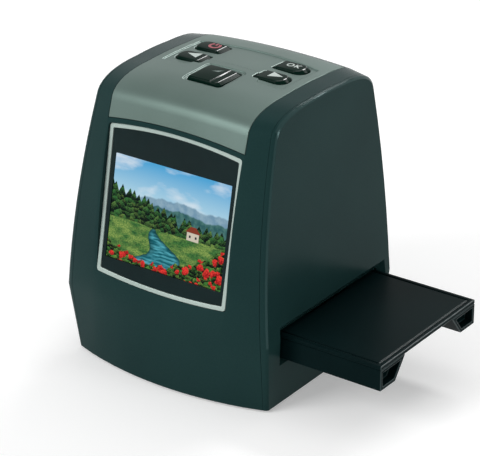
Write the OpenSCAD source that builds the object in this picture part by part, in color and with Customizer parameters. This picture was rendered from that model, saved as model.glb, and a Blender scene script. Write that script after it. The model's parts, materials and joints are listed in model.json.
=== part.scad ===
/* [Body] */
// Width of the body across the kink of the side faces
body_w = 87; // [80:0.1:100]
// Width of the body along its base edge
base_w = 82.8; // [76:0.1:86]
// Width of the body along its top edge
top_w = 74.6; // [66:0.1:80]
// Depth of the side faces at the kink
body_d = 76.2; // [74:0.1:90]
// How much of that depth lies in front of the origin
front_d = 37.6; // [36:0.1:39]
// Height of the side faces
body_h = 102.5; // [98:0.1:112]
// Height of the kink, where the chin meets the front
chin_h = 25.6; // [20:0.1:30]
// How far the chin leans back below the kink
chin_tuck = 3.1; // [1:0.1:6]
// How far the front leans back from the kink to the top
front_lean = 13.9; // [10:0.1:15]
// How far the rear leans forward from the kink to the top
rear_lean = 4.9; // [3:0.1:7]
// How far the rear leans forward at the base
rear_tuck = 1.1; // [0:0.1:3]
// Run of the rounded edge between front and top, down the front
front_round = 8; // [4:0.1:10]
// Run of the same rounded edge back along the top
front_top_round = 20; // [8:0.5:24]
// Run of the rounded edge between top and rear, down the rear
rear_round = 7; // [4:0.1:10]
// Run of the same rounded edge forward along the top
rear_top_round = 19; // [8:0.5:24]
// Bow of the front line seen from the side
front_bow = 2.5; // [0.5:0.1:3]
// Bow of the top line seen from the side
top_bow = 0.3; // [0.1:0.1:1]
// Bow of the rear line seen from the side
rear_bow = 1.1; // [0.2:0.1:2]
// Thickness of the housing walls
wall = 2.2; // [1.8:0.1:2.6]

/* [Bands] */
// Distance between the two crest lines along the base
crest_base_w = 66; // [60:0.1:72]
// Distance between the two crest lines at the kink
crest_kink_w = 60; // [58:0.1:66]
// Distance between the two crest lines at the top
crest_top_w = 57.6; // [56:0.1:60]
// How far the front stands proud of the side face's edge
front_proud = 2.7; // [1.5:0.1:4]
// How far the top stands proud of the side face's edge
top_proud = 0.8; // [0.4:0.1:2]
// How far the rear stands proud of the side face's edge
rear_proud = 1.6; // [0.8:0.1:3]
// Bulge of the chin at its base, between the crest lines
chin_bulge = 4.4; // [1:0.1:6]
// Bulge of the upper front between the crest lines
brow_bulge = 0.8; // [0.2:0.1:2]
// Crown of the top between the crest lines
crown = 1; // [0.3:0.1:2]
// Rounding of the side faces' edges
edge_round = 0.7; // [0.5:0.1:1.4]

/* [Screen] */
// Width of the picture area
lcd_w = 48.96; // [46:0.02:50]
// Height of the picture area
lcd_h = 36.72; // [34:0.02:38]
// Height of the middle of the screen above the base
screen_z = 60; // [58:0.1:62]
// Lean of the screen from upright
screen_lean = 11.5; // [9:0.1:13]
// Set-back of the middle of the screen behind the kink of the side face
screen_back = 2.7; // [2.2:0.1:3.4]
// Half width of the screen trim at its top corners
trim_top_half = 28; // [27:0.1:29]
// Half width of the screen trim at its bottom corners
trim_base_half = 27.6; // [26.5:0.1:28.5]
// Width of the screen trim's face
trim_w = 1.5; // [1:0.1:2]
// Margin of dark window above the picture, to the trim's outer corners
margin_above = 10.2; // [9:0.1:11]
// Margin of dark window below the picture, to the trim's outer corners
margin_below = 6.2; // [5:0.1:7]
// Arch of the trim's top edge
trim_arch = 2; // [0.5:0.1:3]
// Sag of the trim's bottom edge
trim_sag = 1.5; // [0.5:0.1:2.5]
// Rounding run of the trim's corners
trim_round = 1.4; // [1:0.1:4]
// Thickness of the screen window
window_t = 1.5; // [1:0.1:2]
// How far the trim stands proud of the window
trim_proud = 0.3; // [0.1:0.1:0.8]

/* [Top panel] */
// Thickness of the top panel
panel_t = 1.3; // [1:0.1:1.6]
// How far the top panel stands proud of the housing
panel_proud = 0.1; // [0.05:0.05:0.4]
// Gap between the screen trim's corners and the top panel's lower edge
panel_gap = 1.7; // [1:0.1:3]
// Arch of the top panel's lower edge
panel_arch = 2.2; // [1:0.1:3]
// Distance from the top panel's rear end to the rear edge of the side faces at the kink
panel_inset = 9.5; // [9:0.1:12]
// Depth of the shallow landings round the buttons
landing_depth = 0.4; // [0.2:0.05:0.5]

/* [Buttons] */
// Distance of the paired buttons' centres from the middle
button_x = 17.2; // [16.6:0.1:17.8]
// Place of the arrow buttons along the depth
arrow_y = 3.1; // [1.5:0.1:4]
// Distance from the arrow buttons to the buttons behind them
button_pitch = 11.2; // [10.5:0.1:12]
// Length of a small button
button_l = 12; // [10:0.1:13]
// Width of a small button
button_w = 7.6; // [6:0.1:8]
// Rounding of a small button's outer end
button_end = 3.2; // [2:0.1:3.6]
// Place of the scan button along the depth
scan_y = -7.4; // [-9:0.1:-7]
// Length of the scan button
scan_l = 14; // [12:0.1:15]
// Width of the scan button
scan_w = 13.2; // [11:0.1:13.6]
// How far a button stands above the top panel
button_proud = 0.4; // [0.3:0.1:1.5]
// Bevel along a button's upper face
button_bevel = 0.5; // [0.3:0.1:0.8]
// Run of the rolled ends of a small button
button_roll = 1.8; // [1:0.1:2.5]
// Run of the rolled ends of the scan button
scan_roll = 3; // [1:0.1:4]
// Travel of a button
button_travel = 0.5; // [0.3:0.1:0.6]

/* [Film holder] */
// Length of the film holder
holder_l = 130; // [120:1:180]
// Width of the film holder
holder_w = 60; // [56:0.5:61]
// Thickness of the film holder
holder_t = 9.2; // [8:0.1:10]
// Thickness of the film holder's lid
lid_t = 1.5; // [1.2:0.1:2.5]
// Height of the film holder's underside above the base
holder_z = 17.6; // [16:0.1:20]
// How far the film holder reaches past the middle to the right
holder_reach = 82; // [70:1:110]
// Place of the film holder's middle along the depth
holder_y = 2.5; // [1:0.1:3]
// Width of the film
film_w = 35; // [35:0.1:36]
// Length of a film window
frame_l = 36; // [34:0.1:37]
// Width of a film window
frame_w = 24; // [22:0.1:26]
// Distance from one film window to the next
frame_pitch = 38; // [38:0.1:40]
// Width of the finger notch in each end
notch_w = 30; // [24:0.5:34]
// Depth of the finger notch in each end
notch_l = 11; // [8:0.5:13]
// Web between a finger notch and the film window beside it
end_web = 4; // [3:0.5:6]

/* [Hidden] */
$fn = 48;
gap = 0.15; // between pieces that meet at a parting line
touch = 0.05; // between pieces that lie on each other
slide_gap = 0.3; // round the film holder in its guides
slot_gap = 0.5; // round the film holder in the side covers
slot_bevel = 2.2; // lead-in below and beside each slot
slot_brow = 4; // lead-in above each slot
over = 5; // how far a cut reaches past what it cuts
far = 2 * body_h; // longer than any cut needs to be
rear_d = body_d - front_d;
front_steps = 9;
brow_steps = 9;
round_steps = 6;
top_steps = 4;
rear_steps = 5;
cross_steps = 12;
part_at = 1.8; // where the side covers part from the housing, as a share across the band
part_gap = 0.01; // gap at that parting line, as a share
part_over = 0.15; // how far the cutting bodies reach past that line, as a share
chin_fade = 12; // height above the kink at which the chin's bulge has faded
rear_upright = 12; // height of the upright strip of the rear above the kink

// Half width of the body, and of its crest lines, at a height
function side_x(z) = z < chin_h
    ? base_w / 2 + (body_w - base_w) / 2 * z / chin_h
    : body_w / 2 - (body_w - top_w) / 2 * (z - chin_h) / (body_h - chin_h);
function crest_x(z) = z < chin_h
    ? crest_base_w / 2 + (crest_kink_w - crest_base_w) / 2 * max(z, 0) / chin_h
    : crest_kink_w / 2 + (crest_top_w - crest_kink_w) / 2 * (z - chin_h) / (body_h - chin_h);

// Points on a bowed line, and inside a rounded corner
function bow(p, q, rise, n) = [
    for (i = [0:n])
        let (t = i / n, d = q - p)
        p + d * t + 4 * rise * t * (1 - t) * [-d[1], d[0]] / norm(d)
];
function rounding(p, corner, q, n) = [
    for (i = [1:n - 1])
        let (t = i / n)
        (1 - t) * (1 - t) * p + 2 * t * (1 - t) * corner + t * t * q
];

// Side outline, standing proud of the side face's edge by these amounts
function outline(front, top, rear, chin, brow, low) =
    let (
        kink = [-front_d - front, chin_h],
        front_corner = [-front_d + front_lean - front - brow, body_h + top],
        front_dir = (kink - front_corner) / norm(kink - front_corner),
        front_end = front_corner + front_dir * front_round,
        top_start = [front_corner[0] + front_top_round, body_h + top],
        rear_corner = [rear_d - rear_lean + rear, body_h + top],
        top_end = [rear_corner[0] - rear_top_round, body_h + top],
        rear_foot = [rear_d + rear, chin_h + rear_upright],
        rear_dir = (rear_foot - rear_corner) / norm(rear_foot - rear_corner),
        rear_start = rear_corner + rear_dir * rear_round
    )
    concat(
        [[-front_d + chin_tuck - front - chin, low]],
        [
            for (p = bow(kink, front_end, front_bow, front_steps))
                p - [chin * max(0, 1 - p[1] / (chin_h + chin_fade)), 0]
        ],
        rounding(front_end, front_corner, top_start, brow_steps),
        bow(top_start, top_end, top_bow, top_steps),
        rounding(top_end, rear_corner, rear_start, brow_steps),
        bow(rear_start, rear_foot, rear_bow, rear_steps),
        [[rear_d + rear, chin_h], [rear_d - rear_tuck + rear, low]]
    );

// Section of the body at a share across: 0 the middle, 1 the crest line, 2 the side face
function section(share, inset, low) =
    let (
        a = abs(share),
        band = a > 1 ? 2 - a : 1,
        swell = a < 1 ? 1 - a * a : 0
    )
    [
        for (p = outline(
            front_proud * band - inset,
            top_proud * band + crown * swell - inset,
            rear_proud * band + crown / 2 * swell - inset,
            chin_bulge * swell,
            brow_bulge * swell,
            low
        ))
            let (
                c = crest_x(p[1]),
                x = a > 1 ? c + (a - 1) * (side_x(p[1]) - c) : c * a
            )
            [sign(share) * x, p[0], p[1]]
    ];

// Solid through a list of such sections; each end is flat above the kink, and flat below it
module loft(sections) {
    n = len(sections[0]);
    m = len(sections);
    skin = [
        for (i = [0:m - 2], j = [0:n - 1])
            each [
                [i * n + j, i * n + (j + 1) % n, (i + 1) * n + (j + 1) % n],
                [i * n + j, (i + 1) * n + (j + 1) % n, (i + 1) * n + j]
            ]
    ];
    upper_end = [for (j = [1:n - 2]) j];
    lower_end = [0, 1, n - 2, n - 1];
    first_caps = [for (cap = [upper_end, lower_end]) [for (j = [len(cap) - 1:-1:0]) cap[j]]];
    last_caps = [for (cap = [upper_end, lower_end]) [for (j = cap) (m - 1) * n + j]];
    polyhedron([for (s = sections) each s], concat(first_caps, skin, last_caps));
}

// Stations across the body, from one share to the same share on the other side
function stations(edge) = concat(
    [-edge],
    [for (i = [0:cross_steps]) -1 + 2 * i / cross_steps],
    [edge]
);

module body_loft(inset, edge, low) {
    loft([for (s = stations(edge)) section(s, inset, low)]);
}

module rounded_square(size, r) {
    square([size[0] - 2 * r, size[1]], center = true);
    square([size[0], size[1] - 2 * r], center = true);
    for (x = [-1, 1], y = [-1, 1])
        translate([x * (size[0] / 2 - r), y * (size[1] / 2 - r)]) circle(r);
}

module centred_box(size, z) {
    translate([-size[0] / 2, -size[1] / 2, z]) cube(size);
}

// ---- Screen frame: x across, y up the screen, z out of it ----
screen_y = -front_d + screen_back;
window_low = -lcd_h / 2 - margin_below;
window_high = lcd_h / 2 + margin_above;
lcd_gap = 0.2; // round the picture in the window
lcd_sink = 0.2; // of the picture below the window's face
lcd_t = 1.3; // thickness of the display glass
glass_edge = 1.5; // border of the display glass round the picture
glass_gap = 0.3; // round the display glass in its seat
frame_edge = 1.5; // border of the display frame round the glass
lcd_frame_t = 2.4;
frame_gap = 0.35; // between display glass and display frame
seat_t = lcd_t + touch + frame_gap; // thickness of the seat behind the window
seat_edge = 1.5; // border of the seat round the trim
seat_sink = 0.8; // of the seat below the window's face
cable_slot = [20, 3, 0.55];
lcd_glass_size = [lcd_w + 2 * glass_edge, lcd_h + 2 * glass_edge];
lcd_frame_size = [lcd_glass_size[0] + 2 * frame_edge, lcd_glass_size[1] + 2 * frame_edge];

module on_screen() {
    translate([0, screen_y, screen_z]) rotate([90 - screen_lean, 0, 0]) children();
}

// Trim outline drawn in by a distance
module screen_shape(d) {
    high = window_high - d;
    low = window_low + d;
    top_half = trim_top_half - d;
    base_half = trim_base_half - d;
    r = trim_round - d / 2;
    side = [base_half - top_half, low - high] / norm([base_half - top_half, low - high]);
    n = cross_steps;
    top_edge = bow([-top_half + r, high], [top_half - r, high], trim_arch, n);
    base_edge = bow([base_half - r, low], [-base_half + r, low], trim_sag, n);
    right_top = [top_half, high];
    right_base = [base_half, low];
    left_base = [-base_half, low];
    left_top = [-top_half, high];
    mirror_side = [-side[0], side[1]];
    polygon(concat(
        top_edge,
        rounding(top_edge[n], right_top, right_top + side * r, round_steps),
        [right_top + side * r, right_base - side * r],
        rounding(right_base - side * r, right_base, base_edge[0], round_steps),
        base_edge,
        rounding(base_edge[n], left_base, left_base - mirror_side * r, round_steps),
        [left_base - mirror_side * r, left_top + mirror_side * r],
        rounding(left_top + mirror_side * r, left_top, top_edge[0], round_steps)
    ));
}

// ---- Housing ----
panel_rear = rear_d - panel_inset;
rear_lip = 1.2; // roof of the front housing behind the top panel
rear_split = panel_rear + rear_lip;
panel_edge_gap = 0.1; // between top panel and crest lines
panel_seat_gap = 0.1; // below the top panel
flange_edge = 0.9; // of a button round its cap, below the panel
key_room = 1.5; // round the buttons' flanges in the roof
key_post_r = 2.2;
key_drop = 6.6; // from the crest of the top to the key board
key_pilot_r = 0.75;
key_pilot_l = 3;
key_front = scan_y - scan_w / 2 - flange_edge - key_room;
key_rear = arrow_y + button_pitch + button_w / 2 + flange_edge + key_room;
key_opening_w = 2 * (button_x + button_l / 2 + flange_edge + key_room);
key_post_x = key_opening_w / 2 + key_post_r;
key_post_y = [key_front - key_post_r, key_rear + key_post_r];
top_z = body_h + top_bow + top_proud; // crest height at the middle of the top
key_board_top = top_z - key_drop;

module at_key_posts() {
    for (x = [-1, 1], y = key_post_y) translate([x * key_post_x, y, key_board_top]) children();
}

// Region that the top panel covers, drawn in by a distance
module panel_region(d) {
    half = crest_top_w / 2 - panel_edge_gap - d;
    intersection() {
        translate([-half, -far / 2, 0]) cube([2 * half, far / 2 + panel_rear - d, far]);
        on_screen() translate([0, 0, -far / 2]) linear_extrude(far) panel_front_shape(d);
    }
}

// Everything above the arched lower edge of the top panel, seen square to the screen
module panel_front_shape(d) {
    low = window_high + panel_gap + d;
    half = crest_top_w / 2;
    polygon(concat(
        [[body_w, low], [body_w, body_h], [-body_w, body_h], [-body_w, low]],
        bow([-half, low], [half, low], panel_arch, cross_steps)
    ));
}

module housing_shell() {
    difference() {
        body_loft(0, part_at, 0);
        body_loft(wall, part_at + part_over, -over);
    }
}

module front_housing() {
    color([0.14, 0.19, 0.20]) {
        difference() {
            union() {
                intersection() {
                    housing_shell();
                    translate([-far / 2, -far / 2, -over])
                        cube([far, far / 2 + rear_split - gap, far]);
                }
                on_screen() translate([0, 0, -window_t - seat_t])
                    linear_extrude(window_t + seat_t - seat_sink) screen_shape(-seat_edge);
                intersection() {
                    at_key_posts() cylinder(h = 2 * key_drop, r = key_post_r);
                    body_loft(wall / 2, part_at, 0);
                }
            }
            on_screen() translate([0, 0, -window_t]) linear_extrude(front_d) screen_shape(-gap);
            on_screen() centred_box([
                lcd_glass_size[0] + 2 * glass_gap,
                lcd_glass_size[1] + 2 * glass_gap,
                window_t + seat_t + 2 * over
            ], -window_t - seat_t - over);
            difference() {
                panel_region(-gap);
                body_loft(panel_t - panel_proud + panel_seat_gap, part_at + part_over, -over);
            }
            translate([-key_opening_w / 2, key_front, body_h - over])
                cube([key_opening_w, key_rear - key_front, 3 * over]);
            at_key_posts() translate([0, 0, -touch]) cylinder(h = key_pilot_l, r = key_pilot_r);
        }
    }
}

// ---- Sockets at the rear ----
board_t = 1.6;
board_drop = 17.6; // from the key board's face down to the main board's underside
board_z = key_board_top - board_drop;
board_size = [66, 55];
card_size = [26, 28, 3.2];
card_opening = [24.4, 2.3];
card_room = [1, 1.1]; // of the rear cover's opening round the card's
card_x = -14;
usb_size = [7.8, 9.2, 4];
usb_room = 1.2;
usb_x = 9;
jack_size = [6.4, 11, 5.8];
jack_x = 21.5;
jack_nose_r = 3;
jack_nose_l = 3;
jack_room = 0.2;
jack_bore_r = 1.8;
socket_reach = 1.5; // of the sockets into the rear cover's wall
socket_face = rear_d - rear_lean + rear_proud - wall + socket_reach;
board_inset = 0.4; // of the main board's rear edge from the sockets' faces
board_y = socket_face - board_inset - board_size[1] / 2;
board_top = board_z + board_t;

// Way through the rear cover for a socket whose middle is this high above the board
module rear_way(x, high) {
    translate([x, socket_face - over / 2, board_top + high])
        rotate([-90, 0, 0]) linear_extrude(3 * over) children();
}

module rear_cover() {
    color([0.14, 0.19, 0.20]) {
        difference() {
            intersection() {
                housing_shell();
                translate([-far / 2, rear_split, -over]) cube([far, body_d, far]);
            }
            rear_way(card_x, card_size[2] / 2) rounded_square(card_opening + card_room, 0.8);
            rear_way(usb_x, usb_size[2] / 2)
                rounded_square([usb_size[0] + usb_room, usb_size[2] + usb_room], 1);
            rear_way(jack_x, jack_size[2] / 2) circle(jack_nose_r + jack_room);
        }
    }
}

// ---- Side covers with the slots for the film holder ----
slot_low = holder_z - slot_gap;
slot_high = holder_z + holder_t + slot_gap;
slot_front = holder_y - holder_w / 2 - slot_gap;
slot_rear = holder_y + holder_w / 2 + slot_gap;
slot_rim = 2.6; // depth of the lead-in, from the kink of the side face
lip_t = 1.1; // thickness of the lip that locates a cover inside the housing
lip_reach = 0.08; // reach of the lip past the parting line, as a share
lip_z = 4; // height at which the lip starts, above the base plate

// Cover of the right side; the left one is its mirror image
module side_cover() {
    plate = [part_at + part_gap, 1.9, 1.955, 2]; // shares across the band, out to the side face
    inset = [0, 0, edge_round * 0.3, edge_round]; // of the outline at these shares
    slot = [slot_rear - slot_front, slot_high - slot_low];
    lip = [part_at - lip_reach, part_at + 2 * part_gap];
    hollow = [lip[0] - part_gap, lip[1] + part_gap];
    color([0.14, 0.19, 0.20]) difference() {
        union() {
            loft([for (i = [0:3]) section(plate[i], inset[i], 0)]);
            difference() {
                loft([for (share = lip) section(share, wall + gap, lip_z)]);
                loft([for (share = hollow) section(share, wall + gap + lip_t, 0)]);
            }
        }
        translate([body_w / 2 - 2 * over, slot_front, slot_low]) cube([4 * over, slot[0], slot[1]]);
        hull() {
            translate([body_w / 2 - slot_rim, slot_front, slot_low]) cube([touch, slot[0], slot[1]]);
            translate([body_w / 2 + gap, slot_front - slot_bevel, slot_low - slot_bevel])
                cube([touch, slot[0] + 2 * slot_bevel, slot[1] + slot_bevel + slot_brow]);
        }
    }
}

// ---- Base ----
base_t = 2.2;
base_gap = 0.2; // round the base plate
foot_r = 5;
foot_proud = 0.9;
foot_sink = 0.8;
foot_gap = 0.1;
foot_place = [31, 28];
screw_r = 1.05;
head_r = 2.4;
head_t = 1.2;
head_gap = 0.2;
hole_gap = 0.4; // of a clearance hole round a screw
slot_w = 0.6; // of a screw's cross slot
base_screw_l = 8;
base_screw_place = [31, 17];
base_y = 1; // middle of the feet and of the base screws along the depth

// Plan of the base opening, drawn in by a distance
function base_edge(d) =
    let (
        shares = stations(part_at - part_gap),
        last = len(section(0, 0, 0)) - 1
    )
    concat(
        [for (s = shares) let (p = section(s, wall + d, 0)[0]) [p[0], p[1]]],
        [for (i = [len(shares) - 1:-1:0]) let (p = section(shares[i], wall + d, 0)[last]) [p[0], p[1]]]
    );

module at_base_corners(place) {
    for (sx = [-1, 1], sy = [-1, 1]) translate([sx * place[0], base_y + sy * place[1], 0]) children();
}

// Place number i of four, from the front left to the rear right
function corner(i, place, y) = [(i % 2 == 0 ? -1 : 1) * place[0], y + (i < 2 ? -1 : 1) * place[1], 0];

module base_plate() {
    color([0.10, 0.13, 0.14]) difference() {
        linear_extrude(base_t) polygon(base_edge(base_gap));
        at_base_corners(foot_place)
            translate([0, 0, -over]) cylinder(h = over + foot_sink, r = foot_r + foot_gap);
        at_base_corners(base_screw_place) {
            translate([0, 0, -over]) cylinder(h = over + head_t, r = head_r + head_gap);
            translate([0, 0, -over]) cylinder(h = 2 * over, r = screw_r + hole_gap);
        }
    }
}

module foot(i) {
    color([0.05, 0.05, 0.05]) translate(corner(i, foot_place, base_y)) translate([0, 0, -foot_proud])
        cylinder(h = foot_proud + foot_sink, r = foot_r);
}

// Pan-head screw, head towards -Z, point up
module screw(length) {
    difference() {
        cylinder(h = head_t, r = head_r);
        for (a = [0, 90]) rotate([0, 0, a]) centred_box([head_r * 1.1, slot_w, head_t], -slot_w);
    }
    translate([0, 0, head_t]) cylinder(h = length, r = screw_r - touch);
}

module base_screw(i) {
    color("silver") translate(corner(i, base_screw_place, base_y)) screw(base_screw_l);
}

// ---- Top panel, screen trim, window and display ----
scan_landing = 1.3; // round the scan button
scan_corner = 1.2;
button_corner = 0.8;
button_gap = 0.25; // round a button in the top panel
landing_half = 25.2; // half width of the landing of the paired buttons
landing_front = 2.9; // in front of the arrow buttons
landing_rear = 0.2; // behind the rear buttons, at the landing's sides
landing_bow = 2; // of the landing's rear edge
landing_waist = 1; // rise of the front edge between the arrow buttons

module button_shape(l, w, end, outer, grow) {
    hl = l / 2 + grow;
    hw = w / 2 + grow;
    er = end + grow;
    ir = button_corner + grow;
    for (sy = [-1, 1]) {
        translate([outer * (hl - er), sy * (hw - er)]) circle(er);
        translate([-outer * (hl - ir), sy * (hw - ir)]) circle(ir);
    }
    translate([min(outer * (hl - er), -outer * (hl - ir)), -hw])
        square([2 * hl - er - ir, 2 * hw]);
    translate([outer > 0 ? 0 : -hl, -hw + er]) square([hl, 2 * (hw - er)]);
    translate([outer > 0 ? -hl : 0, -hw + ir]) square([hl, 2 * (hw - ir)]);
}

// Places of the five buttons: x, y, outer end's side (0 for the scan button)
power = [-button_x, arrow_y + button_pitch, -1];
left = [-button_x, arrow_y, -1];
scan = [0, scan_y, 0];
right = [button_x, arrow_y, 1];
ok = [button_x, arrow_y + button_pitch, 1];
all_buttons = [power, left, scan, right, ok];

module button_outline(b, grow) {
    if (b[2] == 0) rounded_square([scan_l + 2 * grow, scan_w + 2 * grow], scan_corner + grow);
    else button_shape(button_l, button_w, button_end, b[2], grow);
}

// Shallow landing that the two pairs of buttons share, narrow in the middle
module landing_shape() {
    low = arrow_y - button_w / 2 - landing_front;
    high = arrow_y + button_pitch + button_w / 2 + landing_rear;
    inner = button_x - button_l / 2 + button_corner;
    polygon(concat(
        [[landing_half, low]],
        bow([landing_half, high], [-landing_half, high], -landing_bow, cross_steps),
        [[-landing_half, low], [-inner - landing_front, low]],
        bow([-inner, arrow_y], [inner, arrow_y], landing_waist, cross_steps),
        [[inner + landing_front, low]]
    ));
}

module top_panel() {
    color([0.50, 0.56, 0.55]) difference() {
        intersection() {
            body_loft(-panel_proud, part_at, 0);
            panel_region(0);
        }
        body_loft(panel_t - panel_proud, part_at + part_over, -over);
        for (b = all_buttons)
            translate([b[0], b[1], body_h - over]) linear_extrude(3 * over) button_outline(b, button_gap);
        difference() {
            translate([0, 0, body_h - over]) linear_extrude(3 * over) {
                landing_shape();
                translate([scan[0], scan[1]]) rounded_square(
                    [scan_l + 2 * scan_landing, scan_w + 2 * scan_landing],
                    scan_corner + scan_landing / 2
                );
            }
            body_loft(landing_depth - panel_proud, part_at + part_over, -over);
        }
    }
}

module screen_trim() {
    color([0.78, 0.82, 0.80]) on_screen() translate([0, 0, -window_t]) linear_extrude(window_t + trim_proud)
        difference() {
            screen_shape(0);
            screen_shape(trim_w);
        }
}

module screen_window() {
    color([0.10, 0.15, 0.16]) on_screen() translate([0, 0, -window_t]) linear_extrude(window_t)
        difference() {
            screen_shape(trim_w + 2 * touch);
            square([lcd_w + 2 * lcd_gap, lcd_h + 2 * lcd_gap], center = true);
        }
}

// Display glass, with the lit picture standing up into the window
module lcd_glass() {
    color([0.35, 0.55, 0.65]) on_screen() {
        centred_box([lcd_w, lcd_h, window_t + touch - lcd_sink], -window_t - touch);
        centred_box([lcd_glass_size[0], lcd_glass_size[1], lcd_t], -window_t - touch - lcd_t);
    }
}

module lcd_frame() {
    back = -window_t - seat_t - touch - lcd_frame_t;
    color("silver") on_screen() difference() {
        centred_box([lcd_frame_size[0], lcd_frame_size[1], lcd_frame_t], back);
        centred_box([cable_slot[0], cable_slot[1], 2 * cable_slot[2]], back - cable_slot[2]);
    }
}

// ---- Keys ----
key_board_edge = 2.6; // of the key board round its screw posts
key_board_t = 1.2;
switch_w = 6;
switch_h = 2.6;
plunger_h = 1;
plunger_r = 1.7;
plunger_gap = 0.3; // between plunger and a pressed button
flange_t = 0.9;
shoulder = 0.3; // height of a bevel's inner part, as a share

module key_board() {
    size = [
        2 * (key_post_x + key_board_edge),
        key_post_y[1] - key_post_y[0] + 2 * key_board_edge,
        key_board_t
    ];
    color([0.10, 0.35, 0.20]) difference() {
        translate([0, (key_post_y[0] + key_post_y[1]) / 2, 0])
            centred_box(size, key_board_top - key_board_t);
        at_key_posts() translate([0, 0, -over]) cylinder(h = 2 * over, r = screw_r);
    }
}

module tact_switch(b) {
    translate([b[0], b[1], key_board_top]) {
        color("silver") centred_box([switch_w, switch_w, switch_h], 0);
        color("black") translate([0, 0, switch_h]) cylinder(h = plunger_h, r = plunger_r);
    }
}

// Outline of a button's cap, drawn in by a share of its bevels: the rolled ends and the long edges
module cap_outline(b, share) {
    size = b[2] == 0 ? [scan_l, scan_w] : [button_l, button_w];
    roll = b[2] == 0 ? scan_roll : button_roll;
    scale([1 - 2 * share * roll / size[0], 1 - 2 * share * button_bevel / size[1]]) button_outline(b, 0);
}

// Cap bevelled in two steps, with rolled ends, and a flange that keeps it under the panel
module button(b) {
    low = key_board_top + switch_h + plunger_h + button_travel + plunger_gap;
    rise = crown * (1 - pow(b[0] / (crest_top_w / 2), 2));
    high = top_z + rise + button_proud;
    body_low = low + flange_t / 2;
    color([0.05, 0.12, 0.12]) translate([b[0], b[1], 0]) {
        translate([0, 0, low]) linear_extrude(flange_t) button_outline(b, flange_edge);
        hull() {
            translate([0, 0, body_low]) linear_extrude(high - button_bevel - body_low) button_outline(b, 0);
            translate([0, 0, high - button_bevel * shoulder]) linear_extrude(touch) cap_outline(b, 0.5);
            translate([0, 0, high - touch]) linear_extrude(touch) cap_outline(b, 1);
        }
    }
}

// ---- Main board and its sockets ----
pillar = [30, 24];
pillar_r = 3;
pillar_shift = 0.3; // of the pillars from the board's middle towards the front
pillar_y = board_y - pillar_shift;
board_screw_l = 6;
chip_size = [15, 15, 1.4];
chip_place = [12, -6];
usb_wall = 0.4;
usb_tongue = [4.6, 1];
usb_back = 1.6;
jack_end = 1.5; // wall behind the jack's bore
cable_w = 14;
cable_t = 0.3;
cable_steps = 8;
cable_edge = 1.4; // from the main board's front edge to the key ribbon
lcd_cable_bow = -2;
key_cable_bow = 0.8;

module at_pillars() {
    for (sx = [-1, 1], sy = [-1, 1])
        translate([sx * pillar[0], pillar_y + sy * pillar[1], 0]) children();
}

module main_board() {
    color([0.10, 0.35, 0.20]) difference() {
        translate([0, board_y, 0]) centred_box([board_size[0], board_size[1], board_t], board_z);
        at_pillars() cylinder(h = far, r = screw_r + hole_gap);
    }
}

module board_chip() {
    color([0.08, 0.08, 0.09]) translate([chip_place[0], chip_place[1], 0]) centred_box(chip_size, board_top);
}

module card_socket() {
    inside = [card_opening[0], card_size[1], card_opening[1]];
    color("silver") translate([card_x, socket_face - card_size[1] / 2, 0]) difference() {
        centred_box(card_size, board_top);
        translate([0, 1, 0]) centred_box(inside, board_top + (card_size[2] - inside[2]) / 2);
    }
}

module usb_socket() {
    inside = [usb_size[0] - 2 * usb_wall, usb_size[1], usb_size[2] - 2 * usb_wall];
    low = board_top + usb_wall;
    color("silver") translate([usb_x, socket_face - usb_size[1] / 2, 0]) {
        difference() {
            centred_box(usb_size, board_top);
            translate([0, 1, 0]) centred_box(inside, low);
        }
        translate([0, -usb_back / 2, low + (inside[2] - usb_tongue[1]) / 2])
            centred_box([usb_tongue[0], usb_size[1] - 2 * usb_back, usb_tongue[1]], 0);
        translate([0, (usb_back - usb_size[1] + usb_wall) / 2, 0])
            centred_box([inside[0] + usb_wall, usb_back, inside[2]], low);
    }
}

module video_jack() {
    color([0.08, 0.08, 0.09]) difference() {
        union() {
            translate([jack_x, socket_face - jack_size[1] / 2, 0]) centred_box(jack_size, board_top);
            translate([jack_x, socket_face - 1, board_top + jack_size[2] / 2])
                rotate([-90, 0, 0]) cylinder(h = jack_nose_l, r = jack_nose_r - jack_room / 2);
        }
        translate([jack_x, socket_face - jack_size[1] + jack_end, board_top + jack_size[2] / 2])
            rotate([-90, 0, 0]) cylinder(h = 4 * over, r = jack_bore_r);
    }
}

module board_screw(i) {
    color("silver") translate(corner(i, pillar, pillar_y)) translate([0, 0, board_top + head_t])
        rotate([180, 0, 0]) screw(board_screw_l);
}

// Flat ribbon along a bowed line from p to q in the YZ plane
module ribbon(p, q, rise) {
    line = bow(p, q, rise, cable_steps);
    color([0.75, 0.45, 0.15]) translate([-cable_w / 2, 0, 0]) rotate([90, 0, 90]) linear_extrude(cable_w)
        polygon(concat(line, [for (i = [cable_steps:-1:0]) line[i] + [cable_t, -cable_t / 3]]));
}

// Ribbon from the back of the display to the underside of the main board
module lcd_cable() {
    rise = lcd_h / 4;
    back = (window_t + seat_t + lcd_frame_t + 3 * touch) / cos(screen_lean);
    ribbon(
        [screen_y + back + rise * tan(screen_lean), screen_z + rise],
        [board_y - board_size[1] / 2 + cable_w / 3, board_z - 2 * touch],
        lcd_cable_bow
    );
}

// Ribbon from the underside of the key board to the main board, near their front edges
module key_cable() {
    ribbon(
        [key_post_y[0], key_board_top - key_board_t - touch],
        [board_y - board_size[1] / 2 + cable_edge, board_top + cable_t / 3 + touch],
        key_cable_bow
    );
}

// ---- Guides for the film holder ----
guide_half = 38.4;
guide_t = 2.8;
rail_w = 2.4;
boss_r = 3.4;
aperture = [40, 28]; // of the lower guide
upper_aperture = [34, 26];
guide_top = holder_z - slide_gap;
upper_low = holder_z + holder_t + slide_gap;
upper_t = 2.2;
rail_front = holder_y - holder_w / 2 - slide_gap;
rail_rear = holder_y + holder_w / 2 + slide_gap;

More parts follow.
